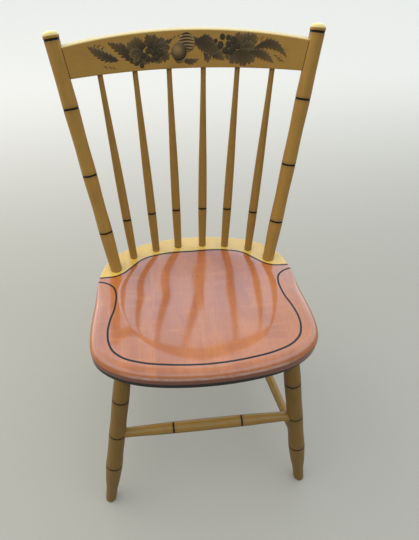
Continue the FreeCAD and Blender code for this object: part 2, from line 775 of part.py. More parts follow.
prism = document.addObject("Part::Feature", "seat_prism")
prism.Shape = seat_prism()
seat_rounded = document.addObject("Part::Fillet", "seat_rounded")
seat_rounded.Base = prism
roundings = []
for index, edge in enumerate(prism.Shape.Edges, start=1):
    if edge.BoundBox.ZMin > TOP - GAP:
        first, last = edge.valueAt(edge.FirstParameter), edge.valueAt(edge.LastParameter)
        roundings.append((index, edge_round(first), edge_round(last)))
    elif edge.BoundBox.ZMax < UNDERSIDE + GAP:
        roundings.append((index, size("seat_foot_round"), size("seat_foot_round")))
seat_rounded.Edges = roundings
carving = document.addObject("Part::Feature", "seat_carving")
carving.Shape = carving_block()
seat_carved = cut_from("seat_carved", seat_rounded, [carving])
seat_bored = cut_from("seat_bored", seat_carved, seat_bores)

side_reach = HALF_WIDTH + size("seat_roll")
seams = [-side_reach, size("first_seam"), size("second_seam"), size("third_seam"), side_reach]
for number, (low, high) in enumerate(zip(seams, seams[1:]), start=1):
    slab = document.addObject("Part::Box", "board_slab_" + str(number))
    slab.Length = high - low
    slab.Width = DEPTH + 2 * OVERRUN
    slab.Height = size("seat_thickness") + 2 * OVERRUN
    slab.Placement.Base = Vector(low, FRONT - OVERRUN, UNDERSIDE - OVERRUN)
    board = document.addObject("Part::Common", "board_" + str(number))
    board.Base = seat_bored
    board.Tool = slab
    finish(board, "seat_board_" + str(number))

document.recompute()

# Every object is checked before anything is written.
for item in document.Objects:
    if "Invalid" in item.State or "Error" in item.State:
        raise RuntimeError("failed object: " + item.Label + " " + str(item.State))
for piece in finished:
    if piece.Shape.isNull() or not piece.Shape.isValid():
        raise RuntimeError("bad shape: " + piece.Label)
    expected = 2 if piece is crest_pins else 1
    if len(piece.Shape.Solids) != expected:
        raise RuntimeError("wrong number of solids: " + piece.Label)

os.makedirs("parts", exist_ok=True)
for piece in finished:
    piece.Shape.exportStep(os.path.join("parts", piece.Label + ".step"))

box = finished[0].Shape.BoundBox
for piece in finished[1:]:
    box.add(piece.Shape.BoundBox)
print("pieces", len(finished), "box", [round(v, 1) for v in (box.XMin, box.YMin, box.ZMin)],
      [round(v, 1) for v in (box.XMax, box.YMax, box.ZMax)])
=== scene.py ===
"""The looks of a stenciled painted side chair: paint, varnish, wood and garland."""

import math

import bpy
import numpy as np
from bpy.props import FloatProperty, FloatVectorProperty, PointerProperty
from mathutils import Matrix, Vector


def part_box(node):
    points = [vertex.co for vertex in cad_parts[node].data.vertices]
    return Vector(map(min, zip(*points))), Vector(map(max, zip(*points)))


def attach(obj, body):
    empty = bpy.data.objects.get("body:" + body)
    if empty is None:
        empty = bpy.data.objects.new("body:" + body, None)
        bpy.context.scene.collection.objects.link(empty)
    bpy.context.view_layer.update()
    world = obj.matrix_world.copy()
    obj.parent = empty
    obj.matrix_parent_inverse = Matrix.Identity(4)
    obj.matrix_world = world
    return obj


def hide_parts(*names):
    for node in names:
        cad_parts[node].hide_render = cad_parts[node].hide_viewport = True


bl_info = {
    "name": "Stenciled side chair",
    "version": (1, 0, 0),
    "blender": (4, 5, 0),
    "location": "View3D > Sidebar > Chair",
    "description": "Builds the painted finish of a plank-seat side chair round its frame",
    "category": "Object",
}

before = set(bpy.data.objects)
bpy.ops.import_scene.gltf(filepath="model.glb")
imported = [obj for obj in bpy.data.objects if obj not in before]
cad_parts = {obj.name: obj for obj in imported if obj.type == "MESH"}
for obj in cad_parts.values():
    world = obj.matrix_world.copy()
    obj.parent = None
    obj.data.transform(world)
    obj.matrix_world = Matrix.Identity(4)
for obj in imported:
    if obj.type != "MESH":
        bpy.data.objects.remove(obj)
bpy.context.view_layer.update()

# Metres per millimetre, so that sizes read as they are measured.
MM = 0.001

# Places that the frame gives. Left and right are as seen from the front, -X and +X.
SEAT_LOW = np.minimum(*[np.array(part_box(f"seat_board_{i}")[0]) for i in (1, 4)])
SEAT_HIGH = np.maximum(*[np.array(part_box(f"seat_board_{i}")[1]) for i in (1, 4)])
SEAT_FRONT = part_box("seat_board_3")[0].y
SEAT_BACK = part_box("seat_board_3")[1].y
SEAT_TOP = SEAT_HIGH[2]
SEAT_UNDERSIDE = SEAT_LOW[2]
SEAT_MIDDLE = (SEAT_LOW[0] + SEAT_HIGH[0]) / 2
HALF_WIDTH = (SEAT_HIGH[0] - SEAT_LOW[0]) / 2
DEPTH = SEAT_BACK - SEAT_FRONT

# Half of the seat's outline, front to back: half widths across, depths along.
OUTLINE_SHARES = (
    (0.000, 0.000), (0.230, 0.005), (0.425, 0.018), (0.583, 0.037), (0.726, 0.066),
    (0.860, 0.112), (0.962, 0.180), (1.000, 0.280), (0.996, 0.391), (0.979, 0.484),
    (0.955, 0.582), (0.936, 0.671), (0.906, 0.750), (0.858, 0.817), (0.784, 0.874),
    (0.651, 0.926), (0.459, 0.967), (0.242, 0.992), (0.000, 1.000),
)

# Right half of the black line round the deck, from the middle out, in the same shares.
DECK_LINE_SHARES = (
    (0.000, 0.874), (0.233, 0.869), (0.349, 0.858), (0.465, 0.839), (0.535, 0.815),
    (0.591, 0.782), (0.637, 0.755), (0.674, 0.733), (0.721, 0.714), (0.767, 0.703),
    (0.814, 0.698), (0.880, 0.697), (0.960, 0.697),
)

# Right half of the black loop line, from the front middle round to the side of the seat.
LOOP_LINE_SHARES = (
    (0.000, 0.070), (0.349, 0.083), (0.558, 0.108), (0.721, 0.149), (0.791, 0.189),
    (0.828, 0.244), (0.837, 0.298), (0.819, 0.380), (0.781, 0.461), (0.767, 0.521),
    (0.767, 0.565), (0.791, 0.616), (0.851, 0.649), (0.930, 0.665), (0.980, 0.668),
)

# The hollow is a bowl. Its half width is a share of the seat's half width. The others are shares
# of the seat's depth: the way to its deepest place, its lengths ahead of and behind that place,
# and the distance over which one of these lengths gives way to the other.
DISH_SIDE_SHARE = 0.759
DISH_MIDDLE_SHARE = 0.566
DISH_AHEAD_SHARE = 0.560
DISH_BEHIND_SHARE = 0.350
DISH_CHANGE_SHARE = 0.1
DISH_CORNER_POWER = 1.66
DISH_WALL_POWER = 1.31

# Glue lines between the boards.
SEAM_PLACES = [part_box(f"seat_board_{number}")[1].x for number in (1, 2, 3)]

# The seat's rolled edge gives way to the deck's small rounding between these shares of the depth.
ROLL_FADE_SHARES = (0.484, 0.671)

# Where the seat's varnish turns clear, and the painted sheen towards the front ends, in shares of
# the depth. Then, in shares of the roll's height, where the painted shade low on the roll starts,
# and where the painted highlight along the front roll ends and starts. It fades from front to back
# over its reach.
CLEAR_SHARES = (0.12, 0.55)
LOW_SHADE_SHARES = (0.62, 0.88)
HIGHLIGHT_LOW_SHARES = (0.66, 0.80)
HIGHLIGHT_TOP_SHARES = (0.42, 0.54)
HIGHLIGHT_REACH = (14 * MM, 34 * MM)

# Turnings. Their ends are those of the right side. Their stations are shares of the way from the
# lower end to the upper, with diameters in millimetres. Before and after that way come stations at
# distances in millimetres, which other pieces hide, apart from a post's dome.
SIDES = (("left", -1), ("right", 1))

LEG_ENDS = {
    "front": ((229.4 * MM, -233.9 * MM, 0), (155.2 * MM, -158.2 * MM, 407 * MM)),
    "rear": ((176 * MM, 171.5 * MM, 0), (117 * MM, 81.5 * MM, 407 * MM)),
}
LEG = {
    "shares": (
        (0.000, 23.8), (0.116, 26.0), (0.175, 30.2), (0.243, 33.5), (0.342, 36.0), (0.465, 33.4),
        (0.603, 33.8), (0.720, 32.0), (0.856, 32.7), (0.945, 31.0), (1.000, 29.0),
    ),
    "rings": (0.342, 0.603, 0.856),
    "before": (12, 21.5),
    "after": ((8, 29),),
    "columns": 56,
}

POST_ENDS = ((163.4 * MM, 83.3 * MM, 445 * MM), (215.3 * MM, 195.1 * MM, 839.4 * MM))
POST = {
    "shares": (
        (0.000, 24.0), (0.206, 26.8), (0.335, 25.2), (0.482, 26.8), (0.620, 25.2), (0.757, 26.8),
        (0.875, 25.2), (1.000, 25.4),
    ),
    "rings": (0.206, 0.482, 0.757, 1.0),
    "before": (10, 24),
    # The domed top. Its wall ends at the second place, a little above the start of its painted
    # highlight.
    "after": (
        (3.0, 26.0), (5.5, 26.0), (7.0, 25.5), (8.4, 24.2), (9.7, 21.8), (10.7, 18.6),
        (11.4, 14.6), (11.9, 9.8), (12.2, 5.0), (12.3, 0.8),
    ),
    # Where the painted highlight on the dome's top starts, past the upper end.
    "crown": 4.8 * MM,
    "columns": 56,
    "step": 1 * MM,
}

# How far the back leans as it rises.
LEAN = (POST_ENDS[1][1] - POST_ENDS[0][1]) / (POST_ENDS[1][2] - POST_ENDS[0][2])

SPINDLE = {
    "shares": (
        (0.000, 15.8), (0.249, 17.8), (0.330, 17.5), (0.510, 16.1), (0.710, 12.8), (1.000, 9.2),
    ),
    "rings": (0.249,),
    "before": (6, 15.8),
    "after": ((6, 9.2),),
}
# Across and back, in millimetres, from the middle spindles outwards.
SPINDLE_FEET = ((27.0, 142.2), (76.2, 135.4), (125.7, 117.0))
SPINDLE_TOPS = (30.2, 89.8, 148.9)

# Stretchers, and how high they meet the legs.
PLAIN = {"shares": ((0.0, 17.5), (0.06, 17.5), (0.5, 20.0), (0.94, 17.5), (1.0, 17.5))}
RINGED = {
    "shares": (
        (0.0, 20.2), (0.06, 20.2), (0.31, 24.0), (0.5, 24.4), (0.69, 24.0), (0.94, 20.2),
        (1.0, 20.2),
    ),
    "rings": (0.31, 0.69),
}
CROSS_HEIGHTS = {"front": 243.5 * MM, "rear": 225 * MM}
SIDE_HEIGHT = 160 * MM

# How far the rail's ends reach aside, inside the posts, and how far down its upper roundings the
# painted highlight along the upper side fades.
RAIL_REACH = 213.8 * MM
CROWN_HIGHLIGHT_FALL = 0.3 * MM

# Leaves on the rail's front face, in millimetres along it from its middle and up from its lower
# edge: stalk, tip, how far the spine bends aside, half width, teeth and lightness.
LOW_LEAVES = (
    ((-116, 18), (-166, 43), 3, 9, 8, 0.20), ((-84, 8), (-132, 45), -4, 10, 8, 0.16),
    ((-100, 16), (-91, 42), 4, 8, 4, 0.12), ((-104, 24), (-112, 44), -2, 6, 3, 0.14),
    ((-52, 36), (-22, 45), -3, 6, 5, 0.12), ((-8, 14), (22, 14), -4, 6, 5, 0.20),
)
HIGH_LEAVES = (
    ((-22, 22), (-2, 12), -4, 5, 0, 0.35), ((-14, 12), (-30, 24), -5, 4, 0, 0.32),
    ((9, 47), (24, 29), 4, 3, 0, 0.40), ((12, 42), (66, 12), 4, 15, 11, 0.16),
    ((20, 40), (47, 40), 3, 8, 4, 0.10), ((30, 22), (38, 8), 2, 6, 2, 0.22),
    ((44, 18), (63, 24), -2, 6, 3, 0.20), ((106, 24), (150, 10), 5, 9, 8, 0.20),
    ((116, 29), (172, 19), 13, 9, 9, 0.18),
)

# Lobed leaves: the middle, the direction in degrees and the length of each lobe, and lightness.
LOBED_LEAVES = (
    ((-74, 27), ((152, 30), (120, 26), (186, 24), (222, 22), (258, 22), (300, 20)), 0.20),
    ((-56, 29), ((114, 25), (82, 23), (42, 25), (8, 29), (335, 30), (298, 22)), 0.14),
    ((92, 28), ((130, 25), (98, 25), (66, 25), (38, 34), (12, 27)), 0.18),
    ((88, 26), ((205, 24), (238, 23), (268, 20), (302, 26), (335, 33)), 0.16),
)
LOBE_WIDTH_SHARE = 0.42
LOBE_TEETH = 4

# Round fruit: middle, radius along and up the face, and lightness. The light comes from a place in
# shares of the radii.
FRUIT = (
    ((-73, 37), (4.6, 4.6), 0.10), ((-61, 38), (4.4, 4.4), 0.10), ((-53, 34), (4.6, 4.6), 0.10),
    ((-74, 23), (4.6, 4.4), 0.10), ((-65, 29), (4.6, 4.6), 0.12), ((-57, 26), (4.4, 4.4), 0.10),
    ((-48, 28), (4.4, 4.4), 0.10), ((-66, 18), (4.4, 4.2), 0.12), ((-58, 16), (4.2, 4.2), 0.10),
    ((-51, 19), (4.2, 4.2), 0.12), ((-44, 24), (4.0, 4.0), 0.10), ((-85, 12), (2.8, 3.0), 0.06),
    ((-77, 8), (3.5, 3.6), 0.06), ((-80, 15), (1.9, 2.0), 0.06), ((51, 40), (3.0, 3.0), 0.05),
    ((62, 46), (4.4, 4.4), 0.05), ((72, 45), (3.8, 3.8), 0.06), ((59, 34), (5.0, 5.6), 0.07),
    ((72, 35), (4.6, 5.0), 0.08), ((67, 26), (4.8, 5.0), 0.07), ((76, 25), (4.4, 4.6), 0.05),
    ((81, 41), (5.0, 5.2), 0.05), ((87, 33), (4.6, 4.8), 0.05), ((80, 30), (4.4, 4.6), 0.05),
    ((-12, 26), (13, 13), 1.05),
)
FRUIT_LIGHT_PLACE = (-0.25, 0.3)

# The melon, and the height and the bend of its dark stripes.
MELON_MIDDLE = (1, 38)
MELON_RADII = (14.5, 13.5)
MELON_LIGHT = 1.25
MELON_FALL = 0.25
MELON_STRIPES = ((10.5, 3.0), (6.4, 2.6), (2.2, 2.2), (-2.2, 1.8), (-6.4, 1.4), (-10.2, 1.0))
STRIPE_WIDTH = 1.3

# Fine strokes: both ends and how far they bend aside.
TENDRILS = (
    ((-156, 40), (-150, 44), 1), ((-150, 39), (-143, 43), 1), ((-144, 37), (-138, 41), -1),
    ((-142, 12), (-136, 8), 1), ((-134, 11), (-129, 7), 1), ((-127, 11), (-122, 7), -1),
    ((-20, 44), (-17, 49), 1), ((-14, 47), (-11, 51), -1), ((120, 40), (124, 46), 1),
    ((126, 41), (131, 47), 1), ((133, 41), (138, 46), -1), ((141, 39), (145, 44), 1),
    ((150, 20), (156, 17), 2), ((156, 17), (161, 20), -2), ((158, 13), (168, 11), 2),
)
TENDRIL_WIDTH = 0.5
TENDRIL_LIGHT = 0.1

# Films of bronze lie one over the other on the face, and their backs are a little inside the rail.
FILM_STEP = 0.012 * MM
FILM_SUNK = 0.25 * MM
FIRST_LAYER = 3

# The camera: its place, its heading, pitch and roll in degrees, and its picture in pixels.
CAMERA_PLACE = (-0.08315, -0.57274, 1.05834)
CAMERA_TURN = (6.741, -48.315, 0.459)
FOCAL_PIXELS = 420.0
PRINCIPAL_PIXEL = (190.31, 303.09)
PHOTO_PIXELS = (419, 540)
SENSOR = 36.0

# The lamp, the sky by its own light and in reflections, what the camera sees of it, and the floor.
LAMP_PLACE = (-2.2, 0.6, 2.4)
LAMP_AIM = (0, 0, 0.5)
LAMP_SIZE = 2.4
LAMP_POWER = 26
LAMP_TINT = (1.0, 0.88, 0.72)
SKY_LOW = (1.0, 0.98, 0.94)
SKY_HIGH = (0.88, 0.94, 1.0)
MIRRORED_LOW = (0.85, 0.93, 1.0)
MIRRORED_HIGH = (0.42, 0.68, 0.90)
BACKDROP = (0.86, 0.86, 0.84)
FLOOR_REACH = 6.0


def measure(name, description, millimetres):
    """A length property."""
    return FloatProperty(
        name=name, description=description, default=millimetres * MM, unit="LENGTH"
    )


def colour(name, description, value):
    """A colour property, in linear red, green and blue."""
    return FloatVectorProperty(
        name=name, description=description, subtype="COLOR", size=3, min=0.0, max=1.0, default=value
    )


class SeatSizes(bpy.types.PropertyGroup):
    """Sizes of the plank seat."""

    roll: measure("Rolled edge", "Height of the rolled edge at the front and the sides", 18)
    roll_reach: measure("Roll reach", "How far in from the edge the roll starts", 20)
    deck_round: measure("Deck edge", "Rounding of the upper edge round the deck", 3)
    foot_round: measure("Lower edge", "Rounding of the lower edge", 5)
    dish: measure("Dish", "Deepest hollow of the seat below the deck", 13)
    line_width: measure("Line", "Width of the painted lines", 3.9)
    band_height: measure("Edge band", "Height of the dark band round the lower edge", 14)


class TurningSizes(bpy.types.PropertyGroup):
    """Sizes of the rings and the soles of the turned pieces."""

    ring_width: measure("Ring", "Width of a painted ring", 3.6)
    groove_width: measure("Groove", "Width of the scored groove under a ring", 2.4)
    ring_cut: measure("Ring cut", "Depth of the scored groove under a ring", 0.5)
    sole_round: measure("Sole", "Rounding round the level sole of a leg", 2.2)


class RailSizes(bpy.types.PropertyGroup):
    """Sizes of the bowed crest rail."""

    rise: measure("Rise", "Deck to the rail's lower edge, in the middle", 339.2)
    height: measure("Height", "Height of the rail in its middle", 54.7)
    arch: measure("Arch", "How much lower the upper edge is at the posts", 8.4)
    sag: measure("Sag", "How much higher the lower edge is at the posts", 2.2)
    bow: measure("Bow", "How far the rail bows back between the posts", 42)
    thickness: measure("Thickness", "Rail from front to back", 14.5)
    round_front: measure("Upper front edge", "Rounding of the upper front edge", 1.5)
    round_rear: measure("Upper rear edge", "Rounding of the upper rear edge", 2.7)
    round_foot: measure("Lower edges", "Rounding of the lower edges", 1.2)


class Finish(bpy.types.PropertyGroup):
    """Colours of the paints, the stain, the bronze and the floor."""

    gold: colour("Gold", "Old gold paint of turnings and rail", (0.49, 0.275, 0.062))
    gold_dark: colour("Gold, glazed", "Darker glaze in the gold's streaks", (0.34, 0.184, 0.038))
    # Painted highlight: pale gold on the tops of the domes and along the rail's upper side.
    gold_highlight: colour("Gold, pale", "Rubbed gold on crowns and upper edge", (0.92, 0.76, 0.30))
    deck: colour("Deck", "Pale gold of the deck", (0.77, 0.48, 0.085))
    black: colour("Black", "Rings and lines", (0.006, 0.005, 0.005))
    edge: colour("Edge band", "Dark band round the lower edge, and dirt", (0.012, 0.008, 0.006))
    wood: colour("Seat", "Stained wood of the seat", (0.47, 0.124, 0.018))
    wood_dark: colour("Seat, grain", "Dark lines of the grain", (0.34, 0.078, 0.010))
    wood_light: colour("Seat, light", "Light stretches of the grain", (0.56, 0.175, 0.032))
    # Painted shade low on the rolled edge; the scratches take the same dark colour.
    wood_shade_and_scratch: colour("Seat, edge", "Darker stain low on the rolled edge", (0.21, 0.052, 0.022))
    # Painted highlight along the lower part of the front roll.
    roll_highlight: colour("Seat, rubbed", "Rubbed varnish along the front roll", (0.55, 0.40, 0.36))
    # Painted sheen: a pale pinkish tone on the wood towards the front.
    front_sheen: colour("Seat, haze", "Hazy varnish towards the front", (0.66, 0.38, 0.25))
    bronze: colour("Bronze", "Dark bronze powder of the garland", (0.056, 0.041, 0.021))
    bronze_light: colour("Bronze, light", "Rubbed bronze of the fruit", (0.38, 0.245, 0.09))
    metal: colour("Brads", "Darkened metal of the brads", (0.06, 0.045, 0.03))
    floor: colour("Floor", "Pale floor round the chair", (0.41, 0.395, 0.345))
    # Painted light: the floor is paler far behind the chair.
    floor_far_lit: colour("Floor, far", "Paler floor behind the chair", (0.77, 0.745, 0.69))


# Curves

def cubics(places, values, slopes, at):
    """Values at places along a line of cubics, each of which leaves one of the given values and
    reaches the next with the slopes there."""
    part = np.clip(np.searchsorted(places, at, "right") - 1, 0, len(places) - 2)
    length = np.diff(places)[part]
    t = (at - places[part]) / length
    if values.ndim == 2:
        length, t = length[:, None], t[:, None]
    return (
        values[part] * (2 * t**3 - 3 * t**2 + 1)
        + values[part + 1] * (3 * t**2 - 2 * t**3)
        + slopes[part] * length * (t**3 - 2 * t**2 + t)
        + slopes[part + 1] * length * (t**3 - t**2)
    )


def closed_curve(points, samples):
    """A smooth closed line through points. Between two points runs a cubic in the distance along
    the chords, and the tangents solve the equations that make the curvature go on through every
    point."""
    step = np.linalg.norm(np.roll(points, -1, 0) - points, axis=1)
    before = np.roll(step, 1)
    index = np.arange(len(points))
    system = np.zeros((len(points), len(points)))
    system[index, index] = 2 * (1 / before + 1 / step)
    system[index, index - 1] = 1 / before
    system[index, (index + 1) % len(points)] = 1 / step
    rise = (np.roll(points, -1, 0) - points) / step[:, None] ** 2
    fall = (points - np.roll(points, 1, 0)) / before[:, None] ** 2
    tangents = np.linalg.solve(system, 3 * (rise + fall))
    places = np.concatenate([[0], np.cumsum(step)])
    at = np.linspace(0, places[-1], samples, endpoint=False)
    return cubics(places, np.vstack([points, points[:1]]), np.vstack([tangents, tangents[:1]]), at)


def smooth_line(points, samples):
    """A smooth open line through points: cubics with the neighbours' chords as tangents."""
    places = np.concatenate([[0], np.cumsum(np.linalg.norm(np.diff(points, axis=0), axis=1))])
    tangents = np.gradient(points, places, axis=0)
    return cubics(places, points, tangents, np.linspace(0, places[-1], samples))


def profile(places, radii, at):
    """Radii along a turning: cubics through the stations whose slopes are the harmonic mean of the
    slopes on both sides, and 0 at a swell or a waist, so nothing overshoots."""
    slope = np.diff(radii) / np.diff(places)
    inner = np.zeros(len(slope) - 1)
    same = slope[:-1] * slope[1:] > 0
    inner[same] = 2 / (1 / slope[:-1][same] + 1 / slope[1:][same])
    return cubics(places, radii, np.concatenate([[slope[0]], inner, [slope[-1]]]), at)


def unit(vectors):
    """Vectors of length 1 in the same directions."""
    return vectors / np.linalg.norm(vectors, axis=-1, keepdims=True)


def leftward(vectors):
    """Flat vectors turned a quarter to the left."""
    return vectors[..., ::-1] * (-1, 1)


def line_distance(points, line, batch=4000):
    """Signed distance of flat points from a line, more than 0 on its left: the way to the nearest
    sample of the line, measured square to the line there. Points are taken a batch at a time."""
    tangent = unit(np.gradient(line, axis=0))
    nearest = np.empty(len(points), int)
    for start in range(0, len(points), batch):
        gap = ((points[start : start + batch, None] - line) ** 2).sum(2)
        nearest[start : start + batch] = gap.argmin(1)
    offset = points - line[nearest]
    across = (offset * leftward(tangent)[nearest]).sum(1)
    beyond = np.abs((offset * tangent[nearest]).sum(1))
    return np.sign(across) * np.hypot(across, np.where(beyond > MM, beyond, 0))


# Meshes

def grid_faces(rows, columns, first=0, wrap=True):
    """Corner numbers of the quads between rows of vertices. With wrap, a row closes on itself."""
    row = np.arange(rows - 1)[:, None] * columns
    column = np.arange(columns if wrap else columns - 1)
    following = (column + 1) % columns
    corners = (row + column, row + following, row + columns + following, row + columns + column)
    return first + np.stack(corners, -1).reshape(-1, 4)


def tube_faces(rows, columns, first=0):
    """The quads of a closed tube and the caps of its ends."""
    ring = first + np.arange(columns)
    return grid_faces(rows, columns, first), [ring[::-1], ring + (rows - 1) * columns]


def mesh_piece(name, points, quads, caps=(), values=None, corner_uv=None):
    """A smooth mesh object from vertices, quads and flat caps. values are numbers per vertex, and
    corner_uv a pair per corner of the quads."""
    mesh = bpy.data.meshes.new(name)
    faces = quads.tolist() + [list(cap) for cap in caps]
    mesh.from_pydata(points.reshape(-1, 3).tolist(), [], faces)
    mesh.shade_smooth()
    for word, numbers in (values or {}).items():
        attribute = mesh.attributes.new(word, "FLOAT", "POINT")
        attribute.data.foreach_set("value", np.asarray(numbers, np.float32).ravel())
    if corner_uv is not None:
        layer = mesh.uv_layers.new(name="surface")
        pairs = np.zeros((len(mesh.loops), 2), np.float32)
        pairs[: len(corner_uv)] = corner_uv
        layer.data.foreach_set("uv", pairs.ravel())
    mesh.update()
    piece = bpy.data.objects.new(name, mesh)
    bpy.context.scene.collection.objects.link(piece)
    return piece


def finish_piece(piece, material, slot, *nodes):
    """Gives a piece its material, lets it ride with the chair and hides the nodes that it stands
    for.
    The slot is not used."""
    piece.data.materials.append(material)
    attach(piece, "root")
    if nodes:
        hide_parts(*nodes)


# Shader maths

class Socket:
    """A node's output that Python's operators work on. Each operator adds one Math node."""

    def __init__(self, paint, output):
        self.paint = paint
        self.output = output

    def math(self, operation, *others):
        """A Math node on this output and others."""
        sockets = dict(enumerate((self, *others)))
        return self.paint.node("ShaderNodeMath", {"operation": operation}, sockets)

    def __add__(self, other):
        return self.math("ADD", other)

    __radd__ = __add__

    def __sub__(self, other):
        return self.math("SUBTRACT", other)

    def __rsub__(self, other):
        return self.paint.node("ShaderNodeMath", {"operation": "SUBTRACT"}, {0: other, 1: self})

    def __mul__(self, other):
        return self.math("MULTIPLY", other)

    __rmul__ = __mul__

    def __abs__(self):
        return self.math("ABSOLUTE")

    def most(self, other):
        return self.math("MAXIMUM", other)

    def least(self, other):
        return self.math("MINIMUM", other)

    def above(self, low, high):
        """0 under low, 1 over high and a smooth step between."""
        sockets = {"Value": self, "From Min": low, "From Max": high}
        return self.paint.node("ShaderNodeMapRange", {"interpolation_type": "SMOOTHSTEP"}, sockets)


class Paint:
    """The nodes of a new material or world."""

    def __init__(self, owner):
        self.owner = owner
        owner.use_nodes = True
        self.tree = owner.node_tree
        self.tree.nodes.clear()

    def node(self, kind, settings=None, sockets=None, output=0):
        """Adds a node: first its settings, then the values or links of its sockets."""
        node = self.tree.nodes.new(kind)
        for word, value in (settings or {}).items():
            setattr(node, word, value)
        for word, value in (sockets or {}).items():
            if isinstance(value, Socket):
                self.tree.links.new(value.output, node.inputs[word])
            else:
                node.inputs[word].default_value = value
        return Socket(self, node.outputs[output]) if len(node.outputs) else None

    def place(self):
        """Object coordinates."""
        return self.node("ShaderNodeTexCoord", output="Object")

    def noise(self, where, scale, detail=3.0, rough=0.5, twist=0.0, turn=0.0):
        """Cloudy noise from 0 to 1. A scale of three numbers is one for each axis, and the place
        may first be turned about Z."""
        if isinstance(scale, tuple):
            sockets = {"Vector": where, "Scale": scale, "Rotation": (0, 0, turn)}
            where, scale = self.node("ShaderNodeMapping", None, sockets), 1.0
        sockets = {"Vector": where, "Scale": scale, "Detail": detail, "Roughness": rough}
        return self.node("ShaderNodeTexNoise", None, {**sockets, "Distortion": twist})

    def attribute(self, name):
        """A number that the mesh carries at its vertices."""
        return self.node("ShaderNodeAttribute", {"attribute_name": name}, output="Fac")

    def axis(self, where, word):
        """One coordinate of a place."""
        return self.node("ShaderNodeSeparateXYZ", None, {"Vector": where}, output=word)

    def rays(self):
        """1 for what the camera sees, and 1 for what a reflection shows."""
        words = ("Is Camera Ray", "Is Glossy Ray")
        return [self.node("ShaderNodeLightPath", output=word) for word in words]

    def mix(self, first, second, share):
        """first where share is 0 and second where it is 1. Both are colours."""
        sockets = {0: share, 6: self.tint(first), 7: self.tint(second)}
        return self.node("ShaderNodeMix", {"data_type": "RGBA"}, sockets, output=2)

    def over(self, tone, *coats):
        """A tone with colours over it, one after the other, each with its share."""
        for tint, share in coats:
            tone = self.mix(tone, tint, share)
        return tone

    def tint(self, value):
        """A colour as a socket wants it, with its alpha."""
        return value if isinstance(value, Socket) else (*tuple(value)[:3], 1.0)

    def bump(self, height, distance, strength):
        """A normal from a height."""
        sockets = {"Height": height, "Distance": distance, "Strength": strength}
        return self.node("ShaderNodeBump", None, sockets)

    def varnish(self, colour, normal, roughness, coat, **more):
        """The shader of a painted or stained surface under clear varnish. more are values of other
        sockets, with lines in place of the spaces of their names."""
        sockets = {
            "Base Color": self.tint(colour),
            "Roughness": roughness,
            "Specular IOR Level": 0.12,
            "Coat Weight": coat,
            "Coat Roughness": 0.15,
        }
        sockets.update({word.replace("_", " "): value for word, value in more.items()})
        if normal:
            sockets["Normal"] = normal
        shader = self.node("ShaderNodeBsdfPrincipled", None, sockets)
        self.node("ShaderNodeOutputMaterial", None, {"Surface": shader})
        return self.owner


def new_paint(name):
    """The nodes of a new material of that name."""
    return Paint(bpy.data.materials.new(name))


def sizes(word):
    """The chair's property group of that name."""
    return getattr(bpy.context.scene, "chair_" + word)


def dimmed(tint, share):
    """A colour at a share of its lightness."""
    return [value * share for value in tint]


# Finishes

def gold_paint(name, lightness, coat=0.35, joint=False):
    """Old gold paint on a turning: long streaks, a dark glaze by the rings, and the black rings.
    The lightness given dims the gold of the whole piece, a painted shade deepest on the legs.
    The top of a dome carries a painted highlight. With joint, dirt lies in the joint with the deck."""
    finish, turning = sizes("finish"), sizes("turning")
    paint = new_paint(name)
    where = paint.place()
    surface = paint.node("ShaderNodeUVMap", {"uv_map": "surface"})
    streaks = paint.noise(surface, (260, 16, 1), 4.0, 0.6)
    clouds = paint.noise(where, 26.0, 4.0, 0.6)
    distance = paint.attribute("ring")
    shade = 1 - distance.above(turning.ring_width * 0.4, turning.ring_width * 2.4)
    glaze = streaks.above(0.42, 0.75) * 0.35 + clouds.above(0.45, 0.8) * 0.35 + shade * 0.5
    # Painted shade: the gold of the whole piece is dimmed by lightness.
    gold, dark = dimmed(finish.gold, lightness), dimmed(finish.gold_dark, lightness)
    nicks = paint.noise(where, 330.0, 1.0).above(0.735, 0.76)
    tone = paint.over(
        gold,
        (dark, glaze.least(1.0)),
        (finish.edge, nicks * 0.6),
        # Painted highlight on a dome's top.
        (finish.gold_highlight, paint.attribute("crown") * 0.95),
    )
    if joint:
        rise = paint.axis(where, "Z") - SEAT_TOP
        dirt = 1 - (rise + clouds * (1.5 * MM)).above(1.0 * MM, 2.6 * MM)
        tone = paint.mix(tone, finish.edge, dirt * 0.8)
    wobble = (paint.noise(where, 190.0, 2.0) - 0.5) * (turning.ring_width * 0.25)
    half = turning.ring_width / 2
    ring = 1 - (distance + wobble).above(half * 0.86, half * 1.12)
    tone = paint.mix(tone, finish.black, ring * 0.97)
    normal = paint.bump(streaks * 0.3 + clouds * 0.7, 0.10 * MM, 0.6)
    return paint.varnish(tone, normal, roughness=0.45, coat=coat * (1 - ring * 0.7))


